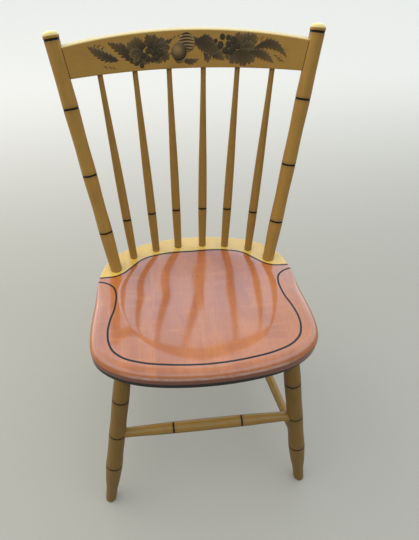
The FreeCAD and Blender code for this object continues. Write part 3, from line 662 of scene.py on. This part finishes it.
def seat_finish():
    """Stained boards under glossy varnish, the pale deck, both black lines and the dark edge."""
    finish, seat = sizes("finish"), sizes("seat")
    paint = new_paint("seat_finish")
    where = paint.place()
    across, along, height = [paint.axis(where, word) for word in "XYZ"]
    board = sum(across.math("GREATER_THAN", place) for place in SEAM_PLACES)
    # Each board shifts the grain by its own number, so that it breaks at the glue lines.
    steps = {"X": board * 0.37, "Y": board * 1.9, "Z": board * 0.6}
    shift = paint.node("ShaderNodeCombineXYZ", None, steps)
    grown = paint.node("ShaderNodeVectorMath", {"operation": "ADD"}, {0: where, 1: shift})
    broad = paint.noise(grown, (22, 4.5, 22), 3.0, 0.5, 0.8)
    fine = paint.noise(grown, (420, 16, 420), 4.0, 0.65)
    curl = paint.noise(grown, (14, 80, 14), 3.0, 0.5, 0.5)
    flecks = paint.noise(grown, (190, 70, 190), 2.0, 0.6)
    seam = abs(across - SEAM_PLACES[0])
    for place in SEAM_PLACES[1:]:
        seam = seam.least(abs(across - place))
    # Boards differ a little in tone, and a thin dark line lies between them. Towards the front, the
    # varnish is duller, and a pale pinkish painted sheen lies on the wood.
    clear = along.above(*[SEAT_FRONT + share * DEPTH for share in CLEAR_SHARES])
    tone = paint.over(
        finish.wood_light,
        (finish.wood_dark, broad.above(0.34, 0.72)),
        (finish.wood, 0.45),
        (finish.wood_dark, fine.above(0.46, 0.74) * 0.6),
        (finish.wood_light, curl.above(0.48, 0.72) * 0.45),
        (finish.wood_dark, flecks.above(0.64, 0.76) * 0.55),
        (finish.wood_dark, (board * 7.13).math("FRACT") * 0.2),
        (finish.wood_dark, (1 - seam.above(0.15 * MM, 0.7 * MM)) * 0.35),
        # Painted sheen towards the front.
        (finish.front_sheen, (1 - clear) * 0.13),
    )
    # Painted shade: the wood is darker low on the roll. Above that, a painted highlight runs along
    # the front.
    drop = paint.attribute("drop")
    low, highlight_low, highlight_top = [
        drop.above(*[share * seat.roll for share in shares])
        for shares in (LOW_SHADE_SHARES, HIGHLIGHT_LOW_SHARES, HIGHLIGHT_TOP_SHARES)
    ]
    front = 1 - along.above(*[SEAT_FRONT + reach for reach in HIGHLIGHT_REACH])
    highlight_patches = paint.noise(where, (60, 60, 240), 3.0, 0.6).above(0.2, 0.7)
    painted_highlight = highlight_top * (1 - highlight_low) * front * highlight_patches
    scratch = paint.noise(where, (900, 60, 60), 1.0, turn=0.6).above(0.77, 0.79)
    wobble = (paint.noise(where, 150.0, 2.0) - 0.5) * (0.5 * MM)
    deck_distance = paint.attribute("deck_line") + wobble
    deck_cloud = paint.noise(where, (30, 12, 30), 4.0, 0.6).above(0.4, 0.75)
    deck = paint.mix(finish.deck, dimmed(finish.deck, 0.86), deck_cloud)
    nearest = abs(deck_distance).least(abs(paint.attribute("loop_line") + wobble))
    half = seat.line_width / 2
    lines = 1 - nearest.above(half * 0.84, half * 1.14)
    # The dark band thins towards the right front corner.
    thin = across.above(0.06, 0.19) * 0.5
    band_top = SEAT_UNDERSIDE + seat.band_height * (1 - thin) + wobble * 2.0
    band = 1 - (height - band_top).above(-0.4 * MM, 0.5 * MM)
    tone = paint.over(
        tone,
        # Painted shade low on the roll.
        (finish.wood_shade_and_scratch, low * 0.95),
        # Painted highlight along the front roll.
        (finish.roll_highlight, painted_highlight * 0.8),
        (finish.wood_shade_and_scratch, scratch * 0.7),
        (deck, deck_distance.above(-0.3 * MM, 0.3 * MM)),
        (finish.black, lines * 0.98),
        (finish.edge, band),
    )
    normal = paint.bump(fine * 0.5 + curl * 0.5, 0.05 * MM, 0.35)
    gloss = 0.55 + clear * 0.4 - deck_distance.above(0.0, 0.3 * MM) * 0.5
    coat = gloss * (1 - lines.most(band) * 0.97)
    more = {"Coat_Roughness": 0.08, "Coat_IOR": 1.85, "Specular_IOR_Level": 0.4}
    return paint.varnish(tone, normal, roughness=0.32, coat=coat, **more)


def rail_finish():
    """Gold paint on the rail, with a dark joint line where it meets the posts, and a painted
    highlight along its upper side.
    """
    finish = sizes("finish")
    paint = new_paint("rail_paint")
    clouds = paint.noise(paint.place(), 22.0, 4.0, 0.6)
    streaks = paint.noise(paint.place(), (18, 18, 160), 4.0, 0.6)
    glaze = streaks.above(0.42, 0.75) * 0.25 + clouds.above(0.42, 0.8) * 0.3
    joint = 1 - paint.attribute("joint").above(0.2 * MM, 1.3 * MM)
    tone = paint.over(
        finish.gold,
        (finish.gold_dark, glaze),
        (finish.edge, joint * 0.85),
        # Painted highlight along the rail's upper side.
        (finish.gold_highlight, paint.attribute("crown") * 0.5),
    )
    normal = paint.bump(streaks * 0.5 + clouds * 0.5, 0.10 * MM, 0.6)
    return paint.varnish(tone, normal, roughness=0.42, coat=0.4)


def garland_finish():
    """Bronze powder under the rail's varnish, worn into specks."""
    finish = sizes("finish")
    paint = new_paint("garland_bronze")
    specks = paint.noise(paint.place(), 700.0, 3.0, 0.7).above(0.3, 0.75)
    clouds = paint.noise(paint.place(), 130.0, 3.0, 0.6).above(0.3, 0.75)
    light = paint.attribute("light") * (0.75 + specks * 0.25 + clouds * 0.25)
    tone = paint.mix(finish.bronze, finish.bronze_light, light)
    normal = paint.bump(specks, 0.03 * MM, 0.5)
    return paint.varnish(tone, normal, roughness=0.45, coat=0.35)


def brad_finish():
    """Darkened metal with cloudy tones."""
    metal = sizes("finish").metal
    paint = new_paint("brad_metal")
    clouds = paint.noise(paint.place(), 60.0, 4.0, 0.6)
    tone = paint.mix(metal, dimmed(metal, 0.75), clouds.above(0.35, 0.7))
    normal = paint.bump(clouds, 0.08 * MM, 0.5)
    return paint.varnish(tone, normal, roughness=0.45, coat=0.3, Metallic=0.6)


# Seat

def hollow(flat):
    """Depth of the bowl at flat points: dish times (1 - p ** (2 / corner power)) ** wall power.
    Here p is the sum of the distances from the bowl's deepest place, sideways as a share of its
    half width and lengthwise as a share of its reach, each to the corner power. The reach turns
    from the length ahead to the length behind with the hyperbolic tangent of the distance."""
    aside = np.abs(flat[..., 0] - SEAT_MIDDLE) / (HALF_WIDTH * DISH_SIDE_SHARE)
    behind = flat[..., 1] - SEAT_FRONT - DEPTH * DISH_MIDDLE_SHARE
    change = 0.5 + 0.5 * np.tanh(behind / (DEPTH * DISH_CHANGE_SHARE))
    reach = DEPTH * (DISH_AHEAD_SHARE * (1 - change) + DISH_BEHIND_SHARE * change)
    powers = aside**DISH_CORNER_POWER + (np.abs(behind) / reach) ** DISH_CORNER_POWER
    inside = np.clip(1 - powers ** (2 / DISH_CORNER_POWER), 0, None)
    return sizes("seat").dish * inside**DISH_WALL_POWER


def seat_outline(samples):
    """The seat's closed outline, first point at the front, from the half that the shares give."""
    half = np.array(OUTLINE_SHARES) * (HALF_WIDTH, DEPTH)
    other = half[-2:0:-1] * (-1, 1)
    return closed_curve(np.vstack([half, other]), samples) + (SEAT_MIDDLE, SEAT_FRONT)


def mirrored_line(shares, samples):
    """A line that runs from one side of the seat to the other, from its right half."""
    half = np.array(shares) * (HALF_WIDTH, DEPTH)
    both = np.vstack([half[:0:-1] * (-1, 1), half])
    return smooth_line(both, samples) + (SEAT_MIDDLE, SEAT_FRONT)


def lifted(flat, height):
    """Flat points with their heights."""
    return np.concatenate([flat, height[..., None]], -1)


def quarter_round(rows):
    """The sine and 1 less the cosine of a quarter turn's steps after the first, one to a row."""
    turn = np.linspace(0, math.pi / 2, rows + 1)[1:, None]
    return np.sin(turn), 1 - np.cos(turn)


def seat_surface(across=161):
    """The seat as one closed skin. Inside the roll, a square grid is drawn out to the seat's
    outline: its point (u, v) goes to the disc point (u root(1 - v v / 2), v root(1 - u u / 2)) and
    on to the same share of the outline's radius. Round it lie the quarter roll, the wall and the
    quarter of the lower rounding."""
    seat = sizes("seat")
    line = np.linspace(-1, 1, across)
    u, v = np.meshgrid(line, line)
    disc = np.stack([u * np.sqrt(1 - v * v / 2), v * np.sqrt(1 - u * u / 2)], -1)
    middle = np.array([SEAT_MIDDLE, SEAT_FRONT + DEPTH * 0.5])

    outline = seat_outline(samples=2400)
    inward = leftward(unit(np.roll(outline, -1, 0) - np.roll(outline, 1, 0)))
    start, end = ROLL_FADE_SHARES
    fade = np.clip(((outline[:, 1] - SEAT_FRONT) / DEPTH - start) / (end - start), 0, 1)
    fade = fade * fade * (3 - 2 * fade)
    roll = seat.roll * (1 - fade) + seat.deck_round * fade
    reach = seat.roll_reach * (1 - fade) + seat.deck_round * fade

    inner = outline + inward * reach[:, None]
    angle = np.arctan2(*(inner - middle).T[::-1])
    order = np.argsort(angle)

    def along_rim(values, at):
        """Values of the rim's samples at an angle about the seat's middle."""
        return np.interp(at, angle[order], values[order], period=2 * math.pi)

    turn = np.arctan2(disc[..., 1], disc[..., 0])
    radius = np.linalg.norm(inner - middle, axis=1)
    flat = middle + disc * along_rim(radius, turn)[..., None]
    top = lifted(flat, SEAT_TOP - hollow(flat))

    # The rim's samples that the grid's border ends on, in order round the seat.
    number = np.arange(across * across).reshape(across, across)
    sides = number[0, :-1], number[:-1, -1], number[-1, :0:-1], number[:0:-1, 0]
    border = np.concatenate(sides)
    at = turn.reshape(-1)[border]
    rim, normal = [
        np.column_stack([along_rim(values, at) for values in pairs.T])
        for pairs in (outline, inward)
    ]
    rim_roll, rim_reach = along_rim(roll, at), along_rim(reach, at)

    sine, versine = quarter_round(rows=14)
    flat_roll = rim + normal * (rim_reach * (1 - sine))[..., None]
    roll_z = SEAT_TOP - hollow(flat_roll) - rim_roll * versine
    wall_low = SEAT_UNDERSIDE + seat.foot_round
    share = np.linspace(0, 1, 9)[1:, None]
    flat_wall = np.broadcast_to(rim, (len(share), *rim.shape))
    wall_z = roll_z[-1] * (1 - share) + wall_low * share
    sine, versine = quarter_round(rows=6)
    flat_foot = rim + normal * (seat.foot_round * versine)[..., None]
    foot_z = wall_low - seat.foot_round * sine + 0 * rim_roll
    flat_skirt = np.concatenate([flat_roll, flat_wall, flat_foot])
    skirt = lifted(flat_skirt, np.concatenate([roll_z, wall_z, foot_z]))

    first, count = across * across, len(border)
    ring = first + np.arange(count)
    joint = np.stack([border, ring, np.roll(ring, -1), np.roll(border, -1)], -1)
    grid = grid_faces(across, across, wrap=False)
    quads = np.vstack([grid, joint, grid_faces(len(skirt), count, first)[:, ::-1]])
    underside = ring[::-1] + (len(skirt) - 1) * count
    return np.vstack([top.reshape(-1, 3), skirt.reshape(-1, 3)]), quads, [underside]


class CHAIR_OT_seat(bpy.types.Operator):
    """Make the carved, stained and painted seat"""

    bl_idname = "chair.seat"
    bl_label = "Seat"

    def execute(self, context):
        points, quads, caps = seat_surface()
        flat = points[:, :2]
        values = {
            "deck_line": line_distance(flat, mirrored_line(DECK_LINE_SHARES, samples=900)),
            "loop_line": line_distance(flat, mirrored_line(LOOP_LINE_SHARES, samples=1400)),
            "drop": SEAT_TOP - hollow(flat) - points[:, 2],
        }
        piece = mesh_piece("seat", points, quads, caps, values)
        boards = [f"seat_board_{i}" for i in (1, 2, 3, 4)]
        finish_piece(piece, seat_finish(), "seat_wood", *boards)
        return {"FINISHED"}


# Turnings

def make_turning(
    name, material, ends, shares, rings=(), before=None, after=(), crown=None, columns=44,
    step=4 * MM,
):
    """Makes a turning round the line between its ends. Its radius is a smooth profile through
    stations with their diameters in millimetres: shares of the way from start to end, and distances
    in millimetres before start and after end. At each ring the bell exp(-(2 d / groove_width)
    squared) times ring_cut is taken off. The painted highlight of a dome's top starts at its given
    distance after end. A turning that starts on the floor is cut level with it."""
    turning = sizes("turning")
    start, end = np.array(ends, float)
    length = np.linalg.norm(end - start)
    axis = (end - start) / length
    lead = before[0] * MM if before else 0.0
    stations = [(0.0, before[1])] if before else []
    stations += [(lead + share * length, across) for share, across in shares]
    stations += [(lead + length + past * MM, across) for past, across in after]
    places, across = np.array(stations).T
    # A ring far beyond the end stands for none. Near a ring, the rows lie closer.
    rings = lead + np.array(rings or (2.0,)) * length
    close = np.linspace(-1.6, 1.6, 25) * turning.ring_width
    rows = [np.linspace(0, places[-1], int(places[-1] / step) + 2), places]
    rows = np.concatenate([*rows, (rings[:, None] + close).ravel()])
    rows = np.unique(np.clip(rows, 0, places[-1]).round(6))
    gap = rows[:, None] - rings
    radius = profile(places, across * MM / 2, rows)
    radius -= turning.ring_cut * np.exp(-((2 * gap / turning.groove_width) ** 2)).sum(1)
    side = unit(np.cross(axis, (0, 1, 0)))
    turn = np.linspace(0, 2 * math.pi, columns, endpoint=False)[:, None]
    circle = np.cos(turn) * side + np.sin(turn) * np.cross(axis, side)
    points = start + (rows[:, None, None] - lead) * axis + radius[:, None, None] * circle
    if start[2] == 0:
        points = cut_sole(points, start)
    values = {"ring": np.repeat(np.abs(gap).min(1), columns)}
    # The mask of the painted highlight on a dome's top.
    if crown:
        rise = rows - lead - length - crown
        values["crown"] = np.repeat(np.clip(rise / MM, 0, 1), columns)
    quads, caps = tube_faces(len(rows), columns)
    around = quads % columns
    around = np.where((around == 0) & (np.arange(4) % 3 != 0), columns, around)
    around = around * (2 * math.pi * radius.mean() / columns)
    pairs = np.stack([around, rows[quads // columns]], -1).reshape(-1, 2)
    piece = mesh_piece(name, points, quads, caps, values, pairs)
    finish_piece(piece, material, "gold_paint", name)


def cut_sole(points, foot):
    """Cuts a leg off level with the floor. What lies under the floor is moved up on to it, and at
    the sole's edge the rows are drawn in by a quarter round, rounding (1 - root(1 - low squared)),
    where low goes from 0 at the rounding's height to 1 on the floor."""
    rounding = sizes("turning").sole_round
    moved, height = points.copy(), points[..., 2]
    low = np.clip(1 - height / rounding, 0, 1)
    inset = np.where(height < 0, rounding, rounding * (1 - np.sqrt(1 - low**2)))
    flat = points[..., :2] - foot[:2]
    radius = np.maximum(np.linalg.norm(flat, axis=-1), MM)
    moved[..., :2] = foot[:2] + flat * np.clip(1 - inset / radius, 0, 1)[..., None]
    moved[..., 2] = np.maximum(height, 0)
    return moved


def on_side(ends, side):
    """Both ends of a turning, on the left side of the chair for -1 and the right for 1."""
    return [np.array(end) * (side, 1, 1) for end in ends]


def at_height(start, end, height):
    """The point of a line at a height above the floor."""
    start, end = np.array(start), np.array(end)
    return start + (end - start) * ((height - start[2]) / (end[2] - start[2]))


class CHAIR_OT_legs(bpy.types.Operator):
    """Make the four turned legs"""

    bl_idname = "chair.legs"
    bl_label = "Legs"

    def execute(self, context):
        # Painted shade: the legs' gold is dimmed for the shade under the seat.
        material = gold_paint("leg_paint", lightness=0.52)
        for pair, ends in LEG_ENDS.items():
            for word, side in SIDES:
                make_turning(f"leg_{pair}_{word}", material, on_side(ends, side), **LEG)
        return {"FINISHED"}


class CHAIR_OT_posts(bpy.types.Operator):
    """Make the two back posts with their domed tops"""

    bl_idname = "chair.posts"
    bl_label = "Posts"

    def execute(self, context):
        material = gold_paint("post_paint", lightness=0.94, joint=True)
        for word, side in SIDES:
            make_turning(f"post_{word}", material, on_side(POST_ENDS, side), **POST)
        return {"FINISHED"}


def bow():
    """The bow of the rail: its radius, its centre's place along Y and half its length."""
    rail = sizes("rail")
    end = at_height(*POST_ENDS, SEAT_TOP + rail.rise)
    radius = (end[0] ** 2 + rail.bow**2) / (2 * rail.bow)
    return radius, end[1] + rail.bow - radius, end[0]


class CHAIR_OT_spindles(bpy.types.Operator):
    """Make the six spindles"""

    bl_idname = "chair.spindles"
    bl_label = "Spindles"

    def execute(self, context):
        material = gold_paint("spindle_paint", lightness=0.82, joint=True)
        radius, centre, _ = bow()
        places = [(-1, 2), (-1, 1), (-1, 0), (1, 0), (1, 1), (1, 2)]
        for number, (side, index) in enumerate(places, start=1):
            out, back = SPINDLE_FEET[index]
            reach = SPINDLE_TOPS[index] * MM
            foot = (side * out * MM, back * MM, SEAT_TOP)
            depth = centre + math.sqrt(radius**2 - reach**2)
            top = (side * reach, depth, SEAT_TOP + sizes("rail").rise)
            make_turning(f"spindle_{number}", material, (foot, top), **SPINDLE)
        return {"FINISHED"}


class CHAIR_OT_stretchers(bpy.types.Operator):
    """Make the four stretchers"""

    bl_idname = "chair.stretchers"
    bl_label = "Stretchers"

    def execute(self, context):
        # Painted shade: the stretchers' gold is dimmed for the shade under the seat.
        material = gold_paint("stretcher_paint", lightness=0.72, coat=0.5)

        def joint(pair, side, height):
            return at_height(*on_side(LEG_ENDS[pair], side), height)

        for pair, height in CROSS_HEIGHTS.items():
            ends = [joint(pair, side, height) for _, side in SIDES]
            form = RINGED if pair == "front" else PLAIN
            make_turning(f"stretcher_{pair}", material, ends, **form)
        for word, side in SIDES:
            ends = [joint(pair, side, SIDE_HEIGHT) for pair in LEG_ENDS]
            make_turning(f"stretcher_{word}", material, ends, **PLAIN)
        return {"FINISHED"}


# Crest rail

def rail_edges(across):
    """Heights of the rail's lower and upper edge at a distance across: both are parabolas, from the
    middle's height to the height at the posts."""
    rail = sizes("rail")
    share = (across / bow()[2]) ** 2
    low = SEAT_TOP + rail.rise + rail.sag * share
    high = SEAT_TOP + rail.rise + rail.height - rail.arch * share
    return low, high


def rail_point(turn, radial, height):
    """A point of the rail: a turn about the bow's centre, a distance from it, and a height, with
    the back's lean added as the height grows."""
    lean = LEAN * (height - SEAT_TOP - sizes("rail").rise)
    depth = bow()[1] + radial * np.cos(turn) + lean
    return np.stack([radial * np.sin(turn) + 0 * depth, depth, height + 0 * depth], -1)


def rail_surface():
    """A rounded oblong section carried along the bow. Round the section, quarter rounds turn the
    four edges, and the faces run straight between them. The mask of the painted highlight is 1 on
    the upper side and falls to 0 over the last of its roundings."""
    rail = sizes("rail")
    radius = bow()[0]
    half = rail.thickness / 2
    reach = math.asin(RAIL_REACH / radius)
    turn = np.linspace(-reach, reach, 181)[:, None]
    low, high = rail_edges(radius * np.sin(turn))
    quarter = np.linspace(0, math.pi / 2, 9)
    straight = np.linspace(0, 1, 14)[1:-1]

    def face(side, rounding, shares):
        """A face between the ends of its two roundings."""
        lift = rail.round_foot * (1 - shares) - rounding * shares
        return side * half + 0 * shares, shares, lift, 0 * shares

    def corner(side, top, rounding, angles):
        """A quarter round, from its face at angle 0 to the edge at a quarter turn."""
        rise = rounding * np.sin(angles)
        depth = side * (half - rounding + rounding * np.cos(angles))
        lift = (rise - rounding) * (1 if top else -1)
        return depth, top + 0 * angles, lift, top * np.clip(rise / CROWN_HIGHLIGHT_FALL, 0, 1)

    # Along the underside to the back, up it, over the top and down the front. Each stretch has
    # depths, shares of the way from the lower edge to the upper, lifts off that and the masks of
    # the painted highlight.
    depth, share, lift, crown = np.hstack(
        [
            corner(-1, 0, rail.round_foot, quarter),
            corner(1, 0, rail.round_foot, quarter[::-1]),
            face(1, rail.round_rear, straight),
            corner(1, 1, rail.round_rear, quarter),
            corner(-1, 1, rail.round_front, quarter[::-1]),
            face(-1, rail.round_front, straight[::-1]),
        ]
    )
    height = low * (1 - share) + high * share + lift
    return rail_point(turn, radius + depth, height), np.broadcast_to(crown, height.shape)


class CHAIR_OT_rail(bpy.types.Operator):
    """Make the bowed crest rail"""

    bl_idname = "chair.rail"
    bl_label = "Crest rail"

    def execute(self, context):
        points, crown = rail_surface()
        away = []
        for _, side in SIDES:
            foot, top = on_side(POST_ENDS, side)
            away.append(np.linalg.norm(np.cross(points - foot, unit(top - foot)), axis=-1))
        joint = np.minimum(*away) - POST["shares"][-1][1] / 2 * MM
        values = {"joint": joint, "crown": crown}
        piece = mesh_piece("crest_rail", points, *tube_faces(*crown.shape), values)
        finish_piece(piece, rail_finish(), "rail_paint", "crest_rail")
        return {"FINISHED"}


# Garland

def face_point(along, rise, out):
    """A point of the rail's front face: along it from its middle, up it from its lower edge, and
    out of it."""
    front = bow()[0] - sizes("rail").thickness / 2
    turn = along / front
    low, _ = rail_edges(front * np.sin(turn))
    return rail_point(turn, front - out, low + rise / math.hypot(1, LEAN))


def leaf(stalk, tip, bend, width, teeth, lightness):
    """A leaf as rows of flat points across its spine, and their lightness. At share u of its length
    the spine stands 4 bend u (1 - u) aside of the straight line, half the width is width times
    sin(pi u ** 0.75) ** 0.8 times a saw-tooth from 0.55 to 1, and the edges lean on to the tip by
    half of their width. The light grows with v squared to the edges and u squared to the tip."""
    u = np.linspace(0, 1, 14 + 8 * teeth)[:, None]
    v = np.linspace(-1, 1, 9)
    stalk, run = np.array(stalk, float), np.subtract(tip, stalk)
    length = np.linalg.norm(run)
    aside = leftward(run) / length
    saw = (teeth * u + np.where(v < 0, 0.0, 0.45)) % 1.0 if teeth else 1.0
    half = np.maximum(width * np.sin(math.pi * u**0.75).clip(0) ** 0.8, 0.15)
    half = half * (0.55 + 0.45 * saw)
    share = u + 0.5 * np.abs(v) * half / length
    across = 4 * bend * share * (1 - share) + v * half
    flat = stalk + share[..., None] * run + across[..., None] * aside
    return flat, lightness * (0.2 + 1.1 * v**2 + 2.0 * u**2)


def lobes(middle, directions, lightness):
    """The lobes of a leaf, each a toothed leaf of its own from the middle outwards."""
    for degrees, length in directions:
        angle = math.radians(degrees)
        tip = (middle[0] + length * math.cos(angle), middle[1] + length * math.sin(angle))
        yield leaf(middle, tip, 0.0, LOBE_WIDTH_SHARE * length, LOBE_TEETH, lightness)


def disc(middle, radii, lightness, fall=2.0):
    """A round fruit as rings of flat points from its middle outwards. It is lightest up on the
    left, by the bell exp(-fall d d) of the distance from there as a share of its radius."""
    ring = np.linspace(0.03, 1, 9)[:, None]
    turn = np.linspace(0, 2 * math.pi, 28, endpoint=False)
    shares = np.stack([ring * np.cos(turn), ring * np.sin(turn)], -1)
    away = np.linalg.norm(shares - FRUIT_LIGHT_PLACE, axis=-1)
    return np.array(middle) + shares * radii, lightness * np.exp(-fall * away**2)


def film(flat, light, lift, fold):
    """A thin closed film: its front lies lift out of the face, and its back, the same points in the
    other order along the fold axis, inside the rail."""
    both = np.concatenate([flat, np.flip(flat, fold)], fold) * MM
    out = np.concatenate([np.full(light.shape, lift), np.full(light.shape, -FILM_SUNK)], fold)
    points = face_point(both[..., 0], both[..., 1], out)
    return points, np.concatenate([light, np.flip(light, fold)], fold)


def garland_shapes():
    """Every shape of the garland from the lowest layer up: flat points, lightness and fold axis."""
    leaves = [leaf(*entry) for entry in LOW_LEAVES]
    for entry in LOBED_LEAVES:
        leaves += lobes(*entry)
    leaves += [leaf(*entry) for entry in HIGH_LEAVES]
    leaves += [leaf(*entry, TENDRIL_WIDTH, 0, TENDRIL_LIGHT) for entry in TENDRILS]
    stripes = []
    for height, bend in MELON_STRIPES:
        reach = MELON_RADII[0] * math.sqrt(1 - (height / MELON_RADII[1]) ** 2)
        ends = [(MELON_MIDDLE[0] + side * reach, MELON_MIDDLE[1] + height) for side in (-1, 1)]
        stripes.append(leaf(*ends, bend, STRIPE_WIDTH, teeth=0, lightness=0.0))
    melon = disc(MELON_MIDDLE, MELON_RADII, MELON_LIGHT, MELON_FALL)
    fruit = [disc(*entry) for entry in FRUIT]
    layers = ((leaves, 1), ([melon], 0), (stripes, 1), (fruit, 0))
    return [(*shape, fold) for shapes, fold in layers for shape in shapes]


class CHAIR_OT_garland(bpy.types.Operator):
    """Stencil the garland of leaves and fruit on the crest rail"""

    bl_idname = "chair.garland"
    bl_label = "Garland"

    def execute(self, context):
        all_points, all_quads, all_caps, all_light = [], [], [], []
        first = 0
        for layer, (flat, light, fold) in enumerate(garland_shapes(), start=FIRST_LAYER):
            points, light = film(flat, light, layer * FILM_STEP, fold)
            # The films run the other way round than a tube, so their faces are turned.
            quads, caps = tube_faces(*light.shape, first)
            all_points.append(points.reshape(-1, 3))
            all_quads.append(quads[:, ::-1])
            all_caps += [cap[::-1] for cap in caps]
            all_light.append(light.ravel())
            first += light.size
        points, quads = np.vstack(all_points), np.vstack(all_quads)
        values = {"light": np.concatenate(all_light)}
        piece = mesh_piece("garland", points, quads, all_caps, values)
        finish_piece(piece, garland_finish(), "rail_paint")
        return {"FINISHED"}


class CHAIR_OT_brads(bpy.types.Operator):
    """Give the brads their darkened metal"""

    bl_idname = "chair.brads"
    bl_label = "Brads"

    def execute(self, context):
        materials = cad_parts["crest_pins"].data.materials
        materials.clear()
        materials.append(brad_finish())
        return {"FINISHED"}


# Stage

def add_camera():
    """The camera at the photograph's view. Its turn is a heading, a pitch and a roll."""
    data = bpy.data.cameras.new("camera")
    data.sensor_width = SENSOR
    data.lens = SENSOR * FOCAL_PIXELS / PHOTO_PIXELS[1]
    data.shift_x = (PHOTO_PIXELS[0] / 2 - PRINCIPAL_PIXEL[0]) / PHOTO_PIXELS[1]
    data.shift_y = (PRINCIPAL_PIXEL[1] - PHOTO_PIXELS[1] / 2) / PHOTO_PIXELS[1]
    data.clip_start, data.clip_end = 0.05, 60.0
    heading, pitch, roll = [math.radians(value) for value in CAMERA_TURN]
    level = math.cos(pitch)
    forward = Vector((math.sin(heading) * level, math.cos(heading) * level, math.sin(pitch)))
    right = Vector((math.cos(heading), -math.sin(heading), 0))
    up = right.cross(forward)
    rolled_right = right * math.cos(roll) + up * math.sin(roll)
    rolled_up = up * math.cos(roll) - right * math.sin(roll)
    camera = bpy.data.objects.new("camera", data)
    axes = Matrix((rolled_right, rolled_up, -forward)).transposed()
    camera.matrix_world = Matrix.Translation(CAMERA_PLACE) @ axes.to_4x4()
    bpy.context.scene.collection.objects.link(camera)
    bpy.context.scene.camera = camera


def add_lamp():
    """A large soft lamp high on the left, which reflections don't show."""
    data = bpy.data.lights.new("soft_left", "AREA")
    data.size = LAMP_SIZE
    data.energy = LAMP_POWER
    data.color = LAMP_TINT
    lamp = bpy.data.objects.new("soft_left", data)
    lamp.location = LAMP_PLACE
    aim = Vector(LAMP_AIM) - Vector(LAMP_PLACE)
    lamp.rotation_euler = aim.to_track_quat("-Z", "Y").to_euler()
    lamp.visible_glossy = False
    bpy.context.scene.collection.objects.link(lamp)


def sky():
    """An even, pale sky: dim low in front, bright overhead and down to the horizon at the back. It
    is bluer in reflections, and the camera sees it as one pale tone."""
    paint = Paint(bpy.data.worlds.new("sky"))
    toward = paint.node("ShaderNodeTexCoord", output="Generated")
    back, up = paint.axis(toward, "Y"), paint.axis(toward, "Z")
    seen, mirrored = paint.rays()
    # Reflections show a darker zenith and soft clouds.
    zenith = up.above(0.76, 0.95) * 1.3
    clouds = paint.noise(toward, 4.5, 3.0, 0.55).above(0.46, 0.66) * 0.75
    glossy = mirrored * (1.05 - zenith - clouds)
    strength = 0.22 + (up + back * 0.45).above(0.05, 0.45) * (1.15 + glossy)
    soft = paint.mix(SKY_LOW, SKY_HIGH, up.above(0.0, 0.7))
    sharp = paint.mix(MIRRORED_LOW, MIRRORED_HIGH, up.above(0.0, 0.5))
    tint = paint.mix(paint.mix(soft, sharp, mirrored), BACKDROP, seen)
    sockets = {"Color": tint, "Strength": strength * (1 - seen) + seen}
    light = paint.node("ShaderNodeBackground", None, sockets)
    paint.node("ShaderNodeOutputWorld", None, {"Surface": light})
    return paint.owner


def floor_finish():
    """A pale floor, with painted light that makes it paler far behind the chair. It is as pale as
    its colour where it is seen, and darker to the light that it throws back."""
    finish = sizes("finish")
    paint = new_paint("floor_paint")
    grain = paint.noise(paint.place(), 240.0, 3.0, 0.6)
    # Painted light: paler towards the back.
    far = paint.axis(paint.place(), "Y").above(0.3, 2.4)
    tint = paint.mix(finish.floor, finish.floor_far_lit, far)
    tint = paint.mix(tint, finish.floor, grain.above(0.4, 0.65) * 0.15)
    seen, mirrored = paint.rays()
    tint = paint.mix(dimmed(finish.floor, 0.32), tint, seen.most(mirrored * 0.5))
    return paint.varnish(tint, None, roughness=0.9, coat=0.0)


class CHAIR_OT_stage(bpy.types.Operator):
    """Make the pale floor, the soft light and the camera"""

    bl_idname = "chair.stage"
    bl_label = "Stage"

    def execute(self, context):
        corners = np.array([(-1, -1, 0), (1, -1, 0), (1, 1, 0), (-1, 1, 0)]) * FLOOR_REACH
        floor = mesh_piece("floor", corners, np.array([[0, 1, 2, 3]]))
        floor.data.materials.append(floor_finish())
        context.scene.world = sky()
        add_lamp()
        add_camera()
        context.scene.view_settings.view_transform = "Standard"
        return {"FINISHED"}


OPERATORS = (
    CHAIR_OT_stage,
    CHAIR_OT_seat,
    CHAIR_OT_legs,
    CHAIR_OT_stretchers,
    CHAIR_OT_posts,
    CHAIR_OT_spindles,
    CHAIR_OT_rail,
    CHAIR_OT_garland,
    CHAIR_OT_brads,
)
GROUPS = {"seat": SeatSizes, "turning": TurningSizes, "rail": RailSizes, "finish": Finish}


class CHAIR_PT_pieces(bpy.types.Panel):
    """The chair's pieces, sizes and colours"""

    bl_idname = "CHAIR_PT_pieces"
    bl_label = "Side chair"
    bl_space_type = "VIEW_3D"
    bl_region_type = "UI"
    bl_category = "Chair"

    def draw(self, context):
        for operator in OPERATORS:
            self.layout.operator(operator.bl_idname)
        for word in GROUPS:
            group = sizes(word)
            column = self.layout.column(heading=word.title())
            for name in group.__annotations__:
                column.prop(group, name)


CLASSES = (*GROUPS.values(), *OPERATORS, CHAIR_PT_pieces)


def register():
    for kind in CLASSES:
        bpy.utils.register_class(kind)
    for word, group in GROUPS.items():
        setattr(bpy.types.Scene, "chair_" + word, PointerProperty(type=group))


def unregister():
    for word in GROUPS:
        delattr(bpy.types.Scene, "chair_" + word)
    for kind in reversed(CLASSES):
        bpy.utils.unregister_class(kind)


def main():
    """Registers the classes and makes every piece."""
    register()
    for operator in OPERATORS:
        getattr(bpy.ops.chair, operator.bl_idname.split(".")[1])()


if __name__ == "__main__":
    main()
